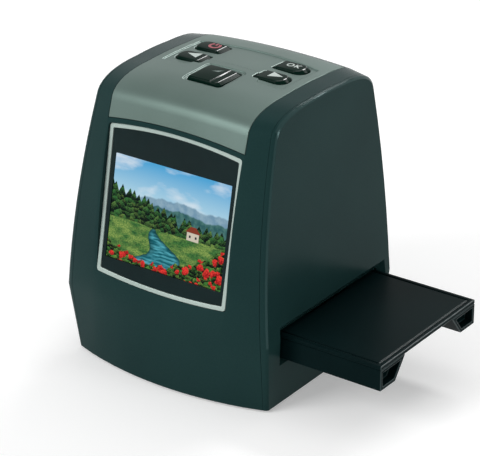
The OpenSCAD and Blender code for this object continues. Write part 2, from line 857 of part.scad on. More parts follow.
// Plate between and over the rails, from one side cover to the other
module guide_plate(low, t) {
    translate([-guide_half, rail_front - rail_w, low])
        cube([2 * guide_half, rail_rear - rail_front + 2 * rail_w, t]);
}

module lower_guide() {
    low = guide_top - guide_t;
    color([0.16, 0.18, 0.19]) difference() {
        union() {
            guide_plate(low, guide_t);
            for (y = [rail_front - rail_w, rail_rear])
                translate([-guide_half, y, low]) cube([2 * guide_half, rail_w, upper_low - low]);
            at_base_corners(base_screw_place)
                translate([0, 0, base_t]) cylinder(h = low - base_t + guide_t / 2, r = boss_r);
        }
        translate([0, holder_y, 0]) centred_box([aperture[0], aperture[1], far], base_t);
        at_base_corners(base_screw_place) cylinder(h = base_t + base_screw_l + touch, r = screw_r);
    }
}

module upper_guide() {
    top = upper_low + upper_t;
    color([0.16, 0.18, 0.19]) difference() {
        union() {
            guide_plate(upper_low, upper_t);
            at_pillars() translate([0, 0, top - touch]) cylinder(h = board_z - top + touch, r = pillar_r);
        }
        translate([0, holder_y, 0]) centred_box([upper_aperture[0], upper_aperture[1], far], 0);
        at_pillars() translate([0, 0, board_z - board_screw_l]) cylinder(h = far, r = screw_r);
    }
}

// ---- Optics ----
tower = [40, 32];
tower_h = 22.7;
tower_wall = 1.6;
tower_foot = [48, 1.6]; // width and thickness of the tower's foot
collar_t = 1.9;
collar_h = 4.5;
barrel_r = 6.4;
barrel_h = 16;
barrel_gap = 0.05;
barrel_sink = 8; // of the barrel below the tower's top
barrel_bore_r = 3.6;
lens_r = 4.9;
lens_t = 1.6;
lens_dome = 1;
lens_gap = 0.1;
lens_seat = 4; // depth of the seat at each end of the barrel
focus = 12; // from the tower's top up to the sensor board
sensor_post = [14, 11];
sensor_post_r = 1.8;
sensor_board_size = [34, 28, 1.2];
sensor_size = [13, 11, 1.4];
filter_size = [11, 9, 0.6];
tower_low = upper_low + upper_t + touch;
tower_top = tower_low + tower_h;
barrel_low = tower_top - barrel_sink;
sensor_z = tower_top + focus;

// Box over the film with the lens in its roof and posts for the sensor board
module lens_tower() {
    color([0.16, 0.18, 0.19]) translate([0, holder_y, 0]) difference() {
        union() {
            centred_box([tower[0], tower[1], tower_h], tower_low);
            centred_box([tower_foot[0], tower[1], tower_foot[1]], tower_low);
            translate([0, 0, tower_top - touch]) cylinder(h = collar_h + touch, r = barrel_r + collar_t);
            for (sx = [-1, 1], sy = [-1, 1])
                translate([sx * sensor_post[0], sy * sensor_post[1], tower_top - touch])
                    cylinder(h = focus + touch, r = sensor_post_r);
        }
        centred_box(
            [tower[0] - 2 * tower_wall, tower[1] - 2 * tower_wall, tower_h - tower_wall + over],
            tower_low - over
        );
        cylinder(h = far, r = barrel_r + barrel_gap);
    }
}

module lens_barrel() {
    seat_r = lens_r + lens_gap;
    color([0.10, 0.10, 0.11]) translate([0, holder_y, barrel_low]) difference() {
        cylinder(h = barrel_h, r = barrel_r);
        translate([0, 0, -over]) cylinder(h = barrel_h + 2 * over, r = barrel_bore_r);
        translate([0, 0, -over]) cylinder(h = over + lens_seat, r = seat_r);
        translate([0, 0, barrel_h - lens_seat]) cylinder(h = over + lens_seat, r = seat_r);
    }
}

// Round lens, flat on one side, domed on the other
module lens() {
    ball = (lens_r * lens_r + lens_dome * lens_dome) / (2 * lens_dome);
    color([0.75, 0.85, 0.90]) {
        cylinder(h = lens_t, r = lens_r);
        intersection() {
            translate([0, 0, lens_t]) cylinder(h = 2 * lens_dome, r = lens_r);
            translate([0, 0, lens_t + lens_dome - ball]) sphere(ball);
        }
    }
}

module lens_low() {
    translate([0, holder_y, barrel_low + lens_seat]) rotate([180, 0, 0]) lens();
}

module lens_high() {
    translate([0, holder_y, barrel_low + barrel_h - lens_seat]) lens();
}

module sensor_board() {
    color([0.10, 0.35, 0.20]) translate([0, holder_y, 0]) centred_box(sensor_board_size, sensor_z);
}

module image_sensor() {
    color([0.20, 0.20, 0.25]) translate([0, holder_y, 0])
        centred_box(sensor_size, sensor_z - sensor_size[2]);
}

module ir_filter() {
    color([0.55, 0.75, 0.85]) translate([0, holder_y, 0])
        centred_box(filter_size, sensor_z - sensor_size[2] - filter_size[2]);
}

// ---- Light box under the film ----
light_box_size = [48, 34];
light_wall = 2;
light_floor = 1.2;
light_gap = 0.2; // round the diffuser and below the lower guide
light_box_top = guide_top - guide_t - light_gap;
diffuser_t = 1.6;
led_board_t = 1.2;
led_size = [3.5, 2.8, 1.2];
led_dome = [1.1, 0.4];
led_pitch = 10;

// Box in the light box's plan, drawn in by a distance
module light_plan(d, z, h) {
    translate([0, holder_y, 0]) centred_box([light_box_size[0] - 2 * d, light_box_size[1] - 2 * d, h], z);
}

module light_box() {
    color("white") difference() {
        light_plan(0, base_t, light_box_top - base_t);
        light_plan(light_wall, base_t + light_floor, far);
        light_plan(light_wall / 2, light_box_top - diffuser_t, far);
    }
}

module diffuser() {
    color([0.92, 0.94, 0.94]) light_plan(light_wall / 2 + light_gap, light_box_top - diffuser_t, diffuser_t);
}

module led_board() {
    color([0.85, 0.87, 0.85]) light_plan(light_wall + light_gap, base_t + light_floor, led_board_t);
}

module led(i) {
    color([0.95, 0.90, 0.60])
        translate([(i - 1.5) * led_pitch, holder_y, base_t + light_floor + led_board_t]) {
            centred_box(led_size, 0);
            translate([0, 0, led_size[2]]) cylinder(h = led_dome[1], r = led_dome[0]);
        }
}

// ---- Film holder ----
holder_left = holder_reach - holder_l;
holder_front = holder_y - holder_w / 2;
base_part_t = holder_t - lid_t;
knuckle_r = 1.5;
knuckle_l = 8;
knuckle_edge = 0.7; // web behind the knuckles
knuckle_gap = 0.2;
knuckle_x = [holder_left + 10, holder_left + 78];
peg_r = 1.2;
peg_gap = 0.1;
peg_edge = 4; // from the holder's front to the pegs
peg_l = 4;
film_sink = 0.4; // depth of the film's channel
notch_flare = 6; // of a finger notch towards the underside, on each side
foot_wall = 1.3; // round the hollow in each of the holder's four feet
foot_hollow = 3.2; // depth of that hollow
groove = 0.5; // width of the groove round the lid's end
groove_in = 1.6;
groove_t = 0.2;
groove_l = 42;
frame_count = floor((holder_l - 2 * (notch_l + end_web) + frame_pitch - frame_l) / frame_pitch);
first_frame = holder_left + notch_l + end_web + frame_l / 2;
frames = [for (i = [0:frame_count - 1]) first_frame + i * frame_pitch];
peg_x = [
    holder_left + notch_l / 2,
    first_frame + frame_pitch / 2,
    first_frame + (frame_count - 0.4) * frame_pitch
];
channel_left = holder_left + notch_l + end_web / 2; // the film's channel starts here

module film_windows() {
    for (x = frames) translate([x, holder_y, 0]) centred_box([frame_l, frame_w, far], 0);
}

// Half width of a finger notch at a height above the holder's underside
function notch_half(z) = notch_w / 2 + notch_flare * (1 - z / base_part_t);

// Extrudes a profile across the holder, both ways from each of its ends
module at_holder_ends(reach) {
    for (x = [holder_left, holder_reach])
        translate([x - reach, holder_y, holder_z]) rotate([90, 0, 90]) linear_extrude(2 * reach) children();
}

// Notch in each end, wider towards the underside
module finger_notches() {
    at_holder_ends(notch_l) polygon([
        for (sy = [1, -1], z = sy > 0 ? [-1, base_part_t, holder_t] : [holder_t, base_part_t, -1])
            [sy * notch_half(min(z, base_part_t)), z]
    ]);
}

// Hollow in the end of each foot, within its walls
module foot_hollows() {
    slant = norm([notch_flare, base_part_t]) / base_part_t;
    outer = holder_w / 2 - foot_wall;
    high = base_part_t - foot_wall;
    at_holder_ends(foot_hollow) for (sy = [-1, 1])
        polygon([
            [sy * (notch_half(foot_wall) + foot_wall * slant), foot_wall],
            [sy * outer, foot_wall],
            [sy * outer, high],
            [sy * (notch_half(high) + foot_wall * slant), high]
        ]);
}

module knuckles(grow) {
    size = [knuckle_l + 2 * grow, 2 * (knuckle_r + grow), 2 * knuckle_r + holder_t];
    for (x = knuckle_x)
        translate([
            x - grow,
            holder_y + holder_w / 2 - knuckle_edge - 2 * knuckle_r - grow,
            holder_z + base_part_t - 2 * knuckle_r - grow
        ]) cube(size);
}

module holder_base() {
    color([0.05, 0.09, 0.09]) difference() {
        translate([holder_left, holder_front, holder_z]) cube([holder_l, holder_w, base_part_t]);
        film_windows();
        finger_notches();
        translate([channel_left, holder_y - film_w / 2, holder_z + base_part_t - film_sink])
            cube([holder_l - 2 * notch_l - end_web, film_w, holder_t]);
        foot_hollows();
        for (x = peg_x)
            translate([x, holder_front + peg_edge, holder_z + base_part_t - peg_l - lid_t])
                cylinder(h = holder_t, r = peg_r + peg_gap);
        knuckles(knuckle_gap);
    }
}

module holder_lid() {
    low = holder_z + base_part_t + touch;
    color([0.05, 0.09, 0.09]) {
        difference() {
            translate([holder_left, holder_front, low]) cube([holder_l, holder_w, lid_t - touch]);
            film_windows();
            translate([holder_reach - groove_l / 2 - groove_in, holder_y, holder_z + holder_t - groove_t])
                linear_extrude(lid_t) difference() {
                    square([groove_l, holder_w - 2 * groove_in], center = true);
                    square([groove_l - 2 * groove, holder_w - 2 * groove_in - 2 * groove], center = true);
                }
        }
        for (x = peg_x)
            translate([x, holder_front + peg_edge, low - peg_l]) cylinder(h = peg_l + touch, r = peg_r);
        intersection() {
            knuckles(0);
            translate([holder_left, 0, 0]) cube([holder_l, body_d, low + touch]);
        }
    }
}

function numbered(name, n) = [for (i = [1:n]) str(name, i)];

front_housing();
rear_cover();
mirror([1, 0, 0]) side_cover();  // left_side_cover
side_cover();  // right_side_cover
base_plate();
for (i = [0:3]) {
    foot(i);
    base_screw(i);
    board_screw(i);
    led(i);
}
top_panel();
screen_trim();
screen_window();
lcd_glass();
lcd_frame();
lcd_cable();
key_board();
key_cable();
tact_switch(power);  // power_switch
tact_switch(left);  // left_switch
tact_switch(scan);  // scan_switch
tact_switch(right);  // right_switch
tact_switch(ok);  // ok_switch
button(power);  // power_button
button(left);  // left_button
button(scan);  // scan_button
button(right);  // right_button
button(ok);  // ok_button
main_board();
board_chip();
card_socket();
usb_socket();
video_jack();
lower_guide();
upper_guide();
lens_tower();
lens_barrel();
lens_low();
lens_high();
sensor_board();
image_sensor();
ir_filter();
light_box();
diffuser();
led_board();
holder_base();
holder_lid();
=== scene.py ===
# %% [markdown]
# # A desktop scanner for film negatives
# The scanner is a dark moulded housing with a colour display on its leaning front, a silver top
# panel with five keys, and a film holder that slides through both side covers. Its shapes come
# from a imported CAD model. Here each visible piece gets its finish: small edge radii, a texture
# for each plastic, printed signs and a lit display.
#
# Everything is in metres. X points to the side where the film holder comes out, -Y is the
# front, Z is up. Sizes that a maker writes in millimetres are multiplied by MM.

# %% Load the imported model
import json
from functools import partial
from math import cos, pi, radians, sin

import bpy
from mathutils import Matrix, Vector


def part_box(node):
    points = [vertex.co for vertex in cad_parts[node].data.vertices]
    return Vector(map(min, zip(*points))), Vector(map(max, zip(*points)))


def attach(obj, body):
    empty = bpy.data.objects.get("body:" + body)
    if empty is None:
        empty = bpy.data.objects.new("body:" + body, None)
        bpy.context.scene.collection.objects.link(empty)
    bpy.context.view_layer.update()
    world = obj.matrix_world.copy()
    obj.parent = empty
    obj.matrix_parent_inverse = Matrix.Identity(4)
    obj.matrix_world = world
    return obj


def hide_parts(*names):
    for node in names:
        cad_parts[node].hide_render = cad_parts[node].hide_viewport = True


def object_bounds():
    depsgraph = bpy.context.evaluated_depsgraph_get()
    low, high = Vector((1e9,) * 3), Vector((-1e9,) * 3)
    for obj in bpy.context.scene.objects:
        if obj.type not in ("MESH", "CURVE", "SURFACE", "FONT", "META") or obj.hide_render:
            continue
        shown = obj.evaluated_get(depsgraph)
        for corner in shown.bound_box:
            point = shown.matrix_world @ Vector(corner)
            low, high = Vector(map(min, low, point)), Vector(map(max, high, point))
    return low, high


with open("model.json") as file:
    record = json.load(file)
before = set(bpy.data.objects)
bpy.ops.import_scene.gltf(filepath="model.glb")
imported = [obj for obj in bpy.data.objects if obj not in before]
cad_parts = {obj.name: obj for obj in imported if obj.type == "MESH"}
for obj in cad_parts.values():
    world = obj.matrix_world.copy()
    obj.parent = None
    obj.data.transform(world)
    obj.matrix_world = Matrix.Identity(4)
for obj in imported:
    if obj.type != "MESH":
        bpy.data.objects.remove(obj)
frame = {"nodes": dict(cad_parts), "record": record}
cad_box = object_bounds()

MM = 0.001
bpy.ops.object.select_all(action="DESELECT")

# %% [markdown]
# ## Camera
# The camera looks down at the right-hand front corner, as for a product picture. A short lens
# close by would make the near corner bulge. A long lens from further away keeps the edges
# nearly parallel, so it is used here. Azimuth and elevation turn the camera round a point in the
# middle of the body, and a small shift moves the scanner to its place in the frame.

# %% Camera
AZIMUTH, ELEVATION, ROLL = radians(36.19), radians(24.57), radians(-0.34)
TARGET = Vector((0.0, 7.5, 50.0)) * MM
DISTANCE = 791.05 * MM
LENS_MM = 167.6
SHIFT_X, SHIFT_Y = -0.0024, -0.0455  # in widths of the frame
FARTHEST = 20  # metres that the camera sees

back = Vector((sin(AZIMUTH) * cos(ELEVATION), -cos(AZIMUTH) * cos(ELEVATION), sin(ELEVATION)))
bpy.ops.object.camera_add(location=TARGET + back * DISTANCE)
camera = bpy.context.object
camera.name = "camera"
level_view = back.to_track_quat("Z", "Y").to_matrix()
camera.rotation_euler = (level_view @ Matrix.Rotation(ROLL, 3, "Z")).to_euler()
camera.data.lens = LENS_MM
camera.data.shift_x, camera.data.shift_y = SHIFT_X, SHIFT_Y
camera.data.clip_end = FARTHEST
bpy.context.scene.camera = camera
print("camera at", [round(c, 3) for c in camera.location], "m, lens", LENS_MM, "mm")

# %% [markdown]
# ## Colours and nodes
# Colours are written as sRGB hex values, as a paint chart gives them. The renderer counts with
# linear light, so one function turns them into linear values. A material is a tree of nodes,
# which could be drawn with the mouse. In a script, one small function adds a node, sets its
# properties and fills its sockets with numbers, colours or other nodes.

# %% Colours and nodes
def linear(code):
    """sRGB hex colour as linear RGBA."""
    parts = [int(code[i:i + 2], 16) / 255 for i in (1, 3, 5)]
    return *(c / 12.92 if c <= 0.04045 else ((c + 0.055) / 1.055) ** 2.4 for c in parts), 1.0


def fill(tree, node, inputs):
    """Fills sockets, given by name or by place among those in use, with values or other nodes."""
    sockets = [s for s in node.inputs if s.enabled]
    for key, value in inputs.items():
        socket = sockets[key] if isinstance(key, int) else next(s for s in sockets if s.name == key)
        if isinstance(value, bpy.types.Node):
            value = next(s for s in value.outputs if s.enabled)
        if isinstance(value, bpy.types.NodeSocket):
            tree.links.new(value, socket)
        else:
            socket.default_value = value


def add(tree, kind, inputs=None, **settings):
    """Adds a shader node with its settings, and fills its sockets."""
    made = tree.nodes.new("ShaderNode" + kind)
    for key, value in settings.items():
        setattr(made, key, value)
    fill(tree, made, inputs or {})
    return made


print("mid grey #808080 is linear", round(linear("#808080")[0], 3))

# %% [markdown]
# ## Finish of a moulded surface
# No moulded or painted surface is one flat colour. A fine grain comes from the mould or the
# spray gun, and it changes the gloss and the relief from point to point. Flow and cooling leave
# a slow drift of the shade over some centimetres. Both could be painted as an image. Noise over
# the object's own coordinates needs no image, and its scale follows from sizes in millimetres.

# %% Grain and drift
DRIFT_MM = 35  # size of the slow patches
SHADE_FROM, SHADE_TO = 0.35, 0.65  # nearly all of the mixed noise lies between these values
GLOSS_FROM, GLOSS_TO = 0.3, 0.7  # and the grain between these


def finish_named(name, **values):
    """A new material and its Principled shader, with values on its own sockets: IOR=1.5."""
    made = bpy.data.materials.new(name)
    made.use_nodes = True
    shader = made.node_tree.nodes["Principled BSDF"]
    named = {socket.replace("_", " "): value for socket, value in values.items()}
    fill(made.node_tree, shader, named)
    return made, shader


def textured(name, dark, light, grain_mm, bump_mm, roughness, spread=0.05, **values):
    """Plastic, paint or rubber: two shades, a grain of so many mm, and gloss that follows it."""
    made, shader = finish_named(name, **values)
    tree = made.node_tree
    place = add(tree, "TexCoord").outputs["Object"]
    grain = add(tree, "TexNoise", {"Vector": place, "Scale": 1 / (grain_mm * MM), "Detail": 3.0})
    drift = add(tree, "TexNoise", {"Vector": place, "Scale": 1 / (DRIFT_MM * MM), "Detail": 2.0})
    shade = add(tree, "ValToRGB", {"Fac": add(tree, "Mix", {0: 0.5, 1: grain, 2: drift})})
    for stop, where, code in zip(shade.color_ramp.elements, (SHADE_FROM, SHADE_TO), (dark, light)):
        stop.position, stop.color = where, linear(code)
    gloss = add(tree, "MapRange", {
        "Value": grain, "From Min": GLOSS_FROM, "From Max": GLOSS_TO,
        "To Min": roughness - spread, "To Max": roughness + spread})
    bump = add(tree, "Bump", {"Height": grain, "Distance": bump_mm * MM, "Strength": 1.0})
    fill(tree, shader, {"Base Color": shade, "Roughness": gloss, "Normal": bump})
    return made


print("slow patches of", DRIFT_MM, "mm")

# %% [markdown]
# ## Floor
# The scanner stands on plain pale paper. Far from the lamps such a floor fades to grey. More
# lamps could brighten it, but they would light the scanner too. Instead the paper glows a little,
# and more so far away, but only for rays from the camera and from mirrors: the Light Path node
# tells them from the rays that gather light. So the floor looks equally pale up to the horizon,
# and it keeps the scanner's shadow.

# %% Floor
FLOOR_SIZE = 8
NEAR, FAR = 0.6, 2.5  # metres from the scanner, between which the floor's glow rises
GLOW_NEAR, GLOW_FAR = 0.3, 0.6
WHITE = (1, 1, 1, 1)


def seen(tree):
    """1 for a ray from the camera, a mirror or glass; 0 for a ray that gathers light."""
    path = add(tree, "LightPath")
    mirrored = add(tree, "Math", {
        0: path.outputs["Is Glossy Ray"], 1: path.outputs["Is Transmission Ray"]},
        operation="MAXIMUM")
    return add(tree, "Math", {0: path.outputs["Is Camera Ray"], 1: mirrored}, operation="MAXIMUM")


bpy.ops.mesh.primitive_plane_add(size=FLOOR_SIZE, location=(0, 0, cad_box[0][2]))
floor = bpy.context.object
floor.name = "floor"
# matt and a little off white, so that it keeps a soft shadow
paper, paper_shader = finish_named(
    "matt white paper", Base_Color=linear("#ebebeb"), Roughness=0.9, Emission_Color=WHITE)
tree = paper.node_tree
spot = add(tree, "TexCoord").outputs["Object"]
distance = add(tree, "VectorMath", {0: spot}, operation="LENGTH")
glow = add(tree, "MapRange", {
    "Value": distance, "From Min": NEAR, "From Max": FAR, "To Min": GLOW_NEAR, "To Max": GLOW_FAR})
shown = add(tree, "Math", {0: seen(tree), 1: glow}, operation="MULTIPLY")
fill(tree, paper_shader, {"Emission Strength": shown})
floor.data.materials.append(paper)
print("floor at", round(floor.location.z / MM, 2), "mm")

# %% [markdown]
# ## World and lamps
# The light is that of a small product studio. Bare bulbs would give hard shadows, so it comes
# from a large soft box at the front left, a wide one overhead, and two strips, right and behind.
# The strips give little light, but every edge that leans towards them mirrors them as a thin
# bright line. The surroundings look white, as the floor does, and give only plain light.

# %% World and lamps
WORLD_LIGHT, WORLD_SHOWN = 0.45, 1.0
LAMPS = (  # name, place and size in metres, power in watts
    ("soft_box_front_left", (-0.5, -1.1, 0.75), (0.7, 0.7), 10),
    ("soft_box_overhead", (-0.1, 0.3, 1.15), (0.9, 0.6), 1.2),
    ("strip_right", (1.1, 0.15, 0.3), (0.2, 0.5), 2),
    ("strip_rear", (0.05, 1.0, 0.92), (0.9, 0.16), 6),
)

world = bpy.context.scene.world or bpy.data.worlds.new("studio")
bpy.context.scene.world = world
world.use_nodes = True
sky = add(world.node_tree, "MapRange", {
    "Value": seen(world.node_tree), "To Min": WORLD_LIGHT, "To Max": WORLD_SHOWN})
fill(world.node_tree, world.node_tree.nodes["Background"], {"Color": WHITE, "Strength": sky})

for name, place, size, watts in LAMPS:
    bpy.ops.object.light_add(type="AREA", location=place)
    lamp = bpy.context.object
    lamp.name = name
    lamp.data.shape = "RECTANGLE"
    lamp.data.size, lamp.data.size_y = size
    lamp.data.energy = watts
    lamp.rotation_euler = (Vector(place) - TARGET).to_track_quat("Z", "Y").to_euler()
bpy.context.scene.view_settings.view_transform = "Standard"
print("lamps:", [name for name, *_ in LAMPS])

# %% [markdown]
# ## Plastics, paint and rubber
# The housing is injection-moulded ABS. A new mould can be polished, sparked matt or etched, and
# that, more than the pigment, decides how a black or green plastic looks. The housing comes from
# a finely polished mould, the film holder from a duller one, and the keys from one polished like
# a mirror. A dark plastic shows its surroundings nearly as much as its pigment, so its colour is
# written dark, and its mirror is weak and tinted.
#
# The camera sees a quarter of a millimetre in one pixel. The real grain of these moulds and of
# the paint is 0.02 to 0.1 mm, too fine to show, so it is drawn 0.12 to 0.5 mm wide.

# %% Plastics and paint outside
TINT = dict(Specular_Tint=linear("#d0ffff"))
DULL, WEAK, RUBBED = (dict(Specular_IOR_Level=level) for level in (0.02, 0.06, 0.3))
materials = {
    # deep green-grey with a soft sheen, even over the large faces
    "housing_plastic": textured(
        "ABS, polished satin", "#172f2f", "#1e3736", 0.35, 0.003, 0.24, 0.03, **WEAK, **TINT),
    # the same plastic where it is handled: a bright line along the rounded edge
    "housing_edge": textured(
        "ABS, rubbed smooth", "#172f2f", "#1e3736", 0.35, 0.001, 0.14, 0.02, **RUBBED, **TINT),
    # sparked mould: dull and rough, so that scuffs underneath don't show
    "base_plastic": textured("ABS, fine matt", "#101617", "#171e1f", 0.3, 0.02, 0.5, **DULL),
    # soft black without any sheen
    "foot_rubber": textured("rubber, moulded", "#0c0c0c", "#151515", 0.25, 0.03, 0.8),
    # sprayed flakes: a wide, soft metallic sheen instead of sharp reflections
    "panel_silver": textured("silver paint on ABS", "#54655f", "#62746f", 0.12, 0.002, 0.42,
                             Metallic=0.5, Specular_IOR_Level=0.2),
    # painted highlight: much paler silver on landing rims that lean towards the strip lamps
    "panel_edge": textured("silver paint, painted highlight", "#a3b5af", "#b0c1bb", 0.12, 0.0, 0.5, 0.03,
                           Metallic=0.5),
    # pale, silky frame round the window
    "trim_silver": textured("satin chrome on ABS", "#99a9a3", "#a9b8b2", 0.12, 0.002, 0.42,
                            Metallic=0.3),
    # mirror-polished mould: greenish black with small sharp highlights
    "button_black": textured(
        "ABS, polished mould", "#041a14", "#07231b", 0.5, 0.001, 0.14, 0.02, **DULL),
    # creases that lean right: a little paler and glossier, partly a painted highlight
    "button_crease": textured("ABS, glossy, painted highlight", "#0a1c18", "#102620", 0.5, 0.001, 0.1, 0.02),
    # nearly black and dull, so that the holder throws no stray light on the film
    "holder_black": textured(
        "ABS, fine grain black", "#041213", "#081a1b", 0.3, 0.008, 0.34, **DULL),
    # painted highlight: paler grey with a stronger mirror on small faces that lean to the right
    "holder_edge": textured(
        "ABS black, painted highlight", "#102324", "#1a3031", 0.3, 0.002, 0.36, 0.03, **RUBBED),
    # clear sheet printed from behind: mirror-smooth, its print a little uneven over 6 mm
    "window_dark": textured("acrylic, printed dark", "#081b1c", "#0c2122", 6.0, 0.0, 0.06, 0.01,
                            Specular_IOR_Level=0.08),
}
print("finishes outside:", len(materials))

# %% [markdown]
# ## Finishes inside
# Only the sockets in the rear cover and the film windows let the eye reach inside, but every
# piece has its finish. Boards have a coloured solder mask, chips a matt moulding compound full
# of fine sand, and the light box is white to throw the light about.

# %% Plastics and boards inside
materials.update({
    # plain dull grey, as parts are that nobody looks at
    "chassis_plastic": textured("ABS, plain grey", "#24292b", "#2e3436", 0.35, 0.02, 0.5),
    # slightly greasy black
    "switch_body": textured("nylon, black", "#141414", "#1d1d1d", 0.25, 0.01, 0.45),
    "jack_plastic": textured("nylon, socket black", "#101011", "#19191a", 0.25, 0.01, 0.45),
    # matt and sandy; the 0.15 mm grain stands for 0.05 mm sand
    "chip_black": textured("moulding compound", "#121213", "#1a1a1b", 0.15, 0.01, 0.6),
    # even white that throws light in all directions
    "light_box_white": textured("ABS, reflector white", "#e4e6e6", "#eef0f0", 0.3, 0.01, 0.5),
    # milky and smooth
    "diffuser_white": textured("acrylic, opal", "#e8ecec", "#f2f5f5", 0.3, 0.002, 0.3),
    # brownish film with a smooth shine
    "ribbon_amber": textured("polyimide ribbon", "#9c5c1c", "#b06c26", 0.6, 0.002, 0.3),
    # glassy lacquer that shows the weave of the board as faint relief
    "led_board_white": textured("solder mask, white", "#d5d8d5", "#e0e3e0", 0.4, 0.004, 0.35),
    "circuit_board": textured("solder mask, green", "#0f3d22", "#155030", 0.5, 0.01, 0.3),
    # powdery yellow spot on each LED
    "led_yellow": textured("phosphor, yellow", "#e0d080", "#ecdc94", 0.15, 0.01, 0.4),
})
print("finishes so far:", len(materials))

# %% [markdown]
# ## Metals and glass
# Pressed, rolled or turned metal has fine lines in one direction, left by the tool. Drawing each
# line would take a very fine pattern, so a noise is stretched along the lines instead. The real
# lines are some hundredths of a millimetre apart, too fine to show, and are drawn 0.1 mm wide.

# %% Metals and glass
STRETCH = 40  # how much longer than wide a tool line is
BRIGHTER, DULLER = 0.08, 0.12  # how far the roughness goes either way


def metal(name, colour, roughness, line_mm):
    """Sheet or turned metal: the gloss changes from tool line to tool line."""
    made, shader = finish_named(name, Base_Color=linear(colour), Metallic=1.0)
    tree = made.node_tree
    place = add(tree, "TexCoord").outputs["Object"]
    drawn = add(tree, "Mapping", {"Vector": place, "Scale": (1, 1, STRETCH)})
    lines = add(tree, "TexNoise", {
        "Vector": drawn, "Scale": 1 / (line_mm * STRETCH * MM), "Detail": 2.0})
    gloss = add(tree, "MapRange", {
        "Value": lines, "To Min": roughness - BRIGHTER, "To Max": roughness + DULLER})
    fill(tree, shader, {"Roughness": gloss})
    return made


# bluish, half dull plating
materials["screw_steel"] = metal("steel, zinc plated", "#b9bbbc", 0.35, 0.1)
# brighter and smoother, so that a socket glints in its hole
materials["socket_steel"] = metal("steel, tin plated", "#c4c6c7", 0.3, 0.1)
# light grey sheet with a silky sheen
materials["display_frame"] = metal("aluminium, pressed", "#c9cbcc", 0.4, 0.15)
# deep black that still glints like metal
materials["barrel_black"] = metal("aluminium, black anodised", "#1a1a1c", 0.4, 0.1)
# clear, with a bluish coating
materials["lens_glass"], _ = finish_named(
    "glass, coated", Roughness=0.03, IOR=1.52, Base_Color=linear("#e4eef2"),
    Transmission_Weight=0.9)
print("finishes so far:", len(materials))

# %% [markdown]
# ## Finishes on the CAD nodes
# The record names a material slot for each node. Each node could be replaced by a finer copy,
# but most of them are inside and their shape is right, so they keep their mesh and get only
# their finish.

# %% Give each node its finish
def refinish(node, material):
    """Gives a CAD node one material."""
    slots = frame["nodes"][node].data.materials
    slots.clear()
    slots.append(material)


finished = [row for row in frame["record"]["subparts"] if row["material_slot"] in materials]
for row in finished:
    refinish(row["node"], materials[row["material_slot"]])
print("nodes with a finish:", len(finished))

# %% [markdown]
# ## Moulded pieces with real edges
# A CAD edge has no width, but every moulded edge has a small radius that catches the light as a
# thin line. The radius could be modelled in the CAD source, which would make its solids heavy.
# Here each visible piece is copied, its loose triangles are joined and its flat areas made
# whole, and a bevel modifier rounds the sharp edges. The surfaces between them are shaded
# smooth. A weighted normal modifier then keeps the small rounded faces from bending the shading
# of the large faces beside them.

# %% Round the edges of a moulded piece
SHARP = radians(24)  # edges that turn more than this are rounded
SAME_POINT = 0.004 * MM
FLAT = radians(0.4)  # faces that turn less than this become one
ROUND_STEPS = 2


def alone(piece):
    """Makes this object the only selected one, and the active one."""
    bpy.ops.object.select_all(action="DESELECT")
    piece.select_set(True)
    bpy.context.view_layer.objects.active = piece


def rounded(piece, radius_mm):
    """Joins a CAD mesh's triangles, rounds its sharp edges and shades it smooth."""
    alone(piece)
    bpy.ops.object.mode_set(mode="EDIT")
    bpy.ops.mesh.select_all(action="SELECT")
    bpy.ops.mesh.remove_doubles(threshold=SAME_POINT)
    bpy.ops.mesh.dissolve_limited(angle_limit=FLAT)
    bpy.ops.object.mode_set(mode="OBJECT")
    rounding = piece.modifiers.new("edge radius", "BEVEL")
    rounding.width = radius_mm * MM
    rounding.segments = ROUND_STEPS
    rounding.use_clamp_overlap = False
    rounding.limit_method = "ANGLE"
    rounding.angle_limit = SHARP
    rounding.miter_outer = "MITER_ARC"
    bpy.ops.object.modifier_apply(modifier=rounding.name)
    bpy.ops.object.shade_smooth_by_angle(angle=SHARP)
    flatter = piece.modifiers.new("large faces stay flat", "WEIGHTED_NORMAL")
    flatter.keep_sharp = True
    bpy.ops.object.modifier_apply(modifier=flatter.name)


def moulded(node, name, body, radius_mm, slot):
    """Copy of a CAD node with rounded edges and its finish, which stands for the node."""
    piece = bpy.data.objects.new(name, frame["nodes"][node].data.copy())
    bpy.context.scene.collection.objects.link(piece)
    rounded(piece, radius_mm)
    piece.data.materials.clear()
    piece.data.materials.append(materials[slot])
    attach(piece, body)
    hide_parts(node)
    print(name, "faces:", len(piece.data.polygons))
    return piece


print("edges over", round(SHARP * 180 / pi), "degrees are rounded")

# %% [markdown]
# ### The visible mouldings
# One radius for all would be simpler, but where the parts of the housing meet, a large one would
# open their joints into grooves, so theirs is hardly more than a burr. The panel and the film
# holder are handled, and softer.

# %% Round the visible pieces
MOULDINGS = (  # CAD node, name of the piece, body, edge radius in mm, finish
    ("front_housing", "front_moulding", "scanner", 0.04, "housing_plastic"),
    ("rear_cover", "rear_moulding", "scanner", 0.04, "housing_plastic"),
    ("left_side_cover", "left_moulding", "scanner", 0.04, "housing_plastic"),
    ("right_side_cover", "right_moulding", "scanner", 0.04, "housing_plastic"),
    ("top_panel", "silver_panel", "scanner", 0.3, "panel_silver"),
    ("screen_trim", "silver_trim", "scanner", 0.2, "trim_silver"),
    ("screen_window", "dark_window", "scanner", 0.1, "window_dark"),
    ("base_plate", "bottom_plate", "scanner", 0.2, "base_plastic"),
    ("holder_base", "holder_tray", "film_holder", 0.3, "holder_black"),
    ("holder_lid", "holder_cover", "film_holder", 0.3, "holder_black"),
)
mouldings = {row[1]: moulded(*row) for row in MOULDINGS}
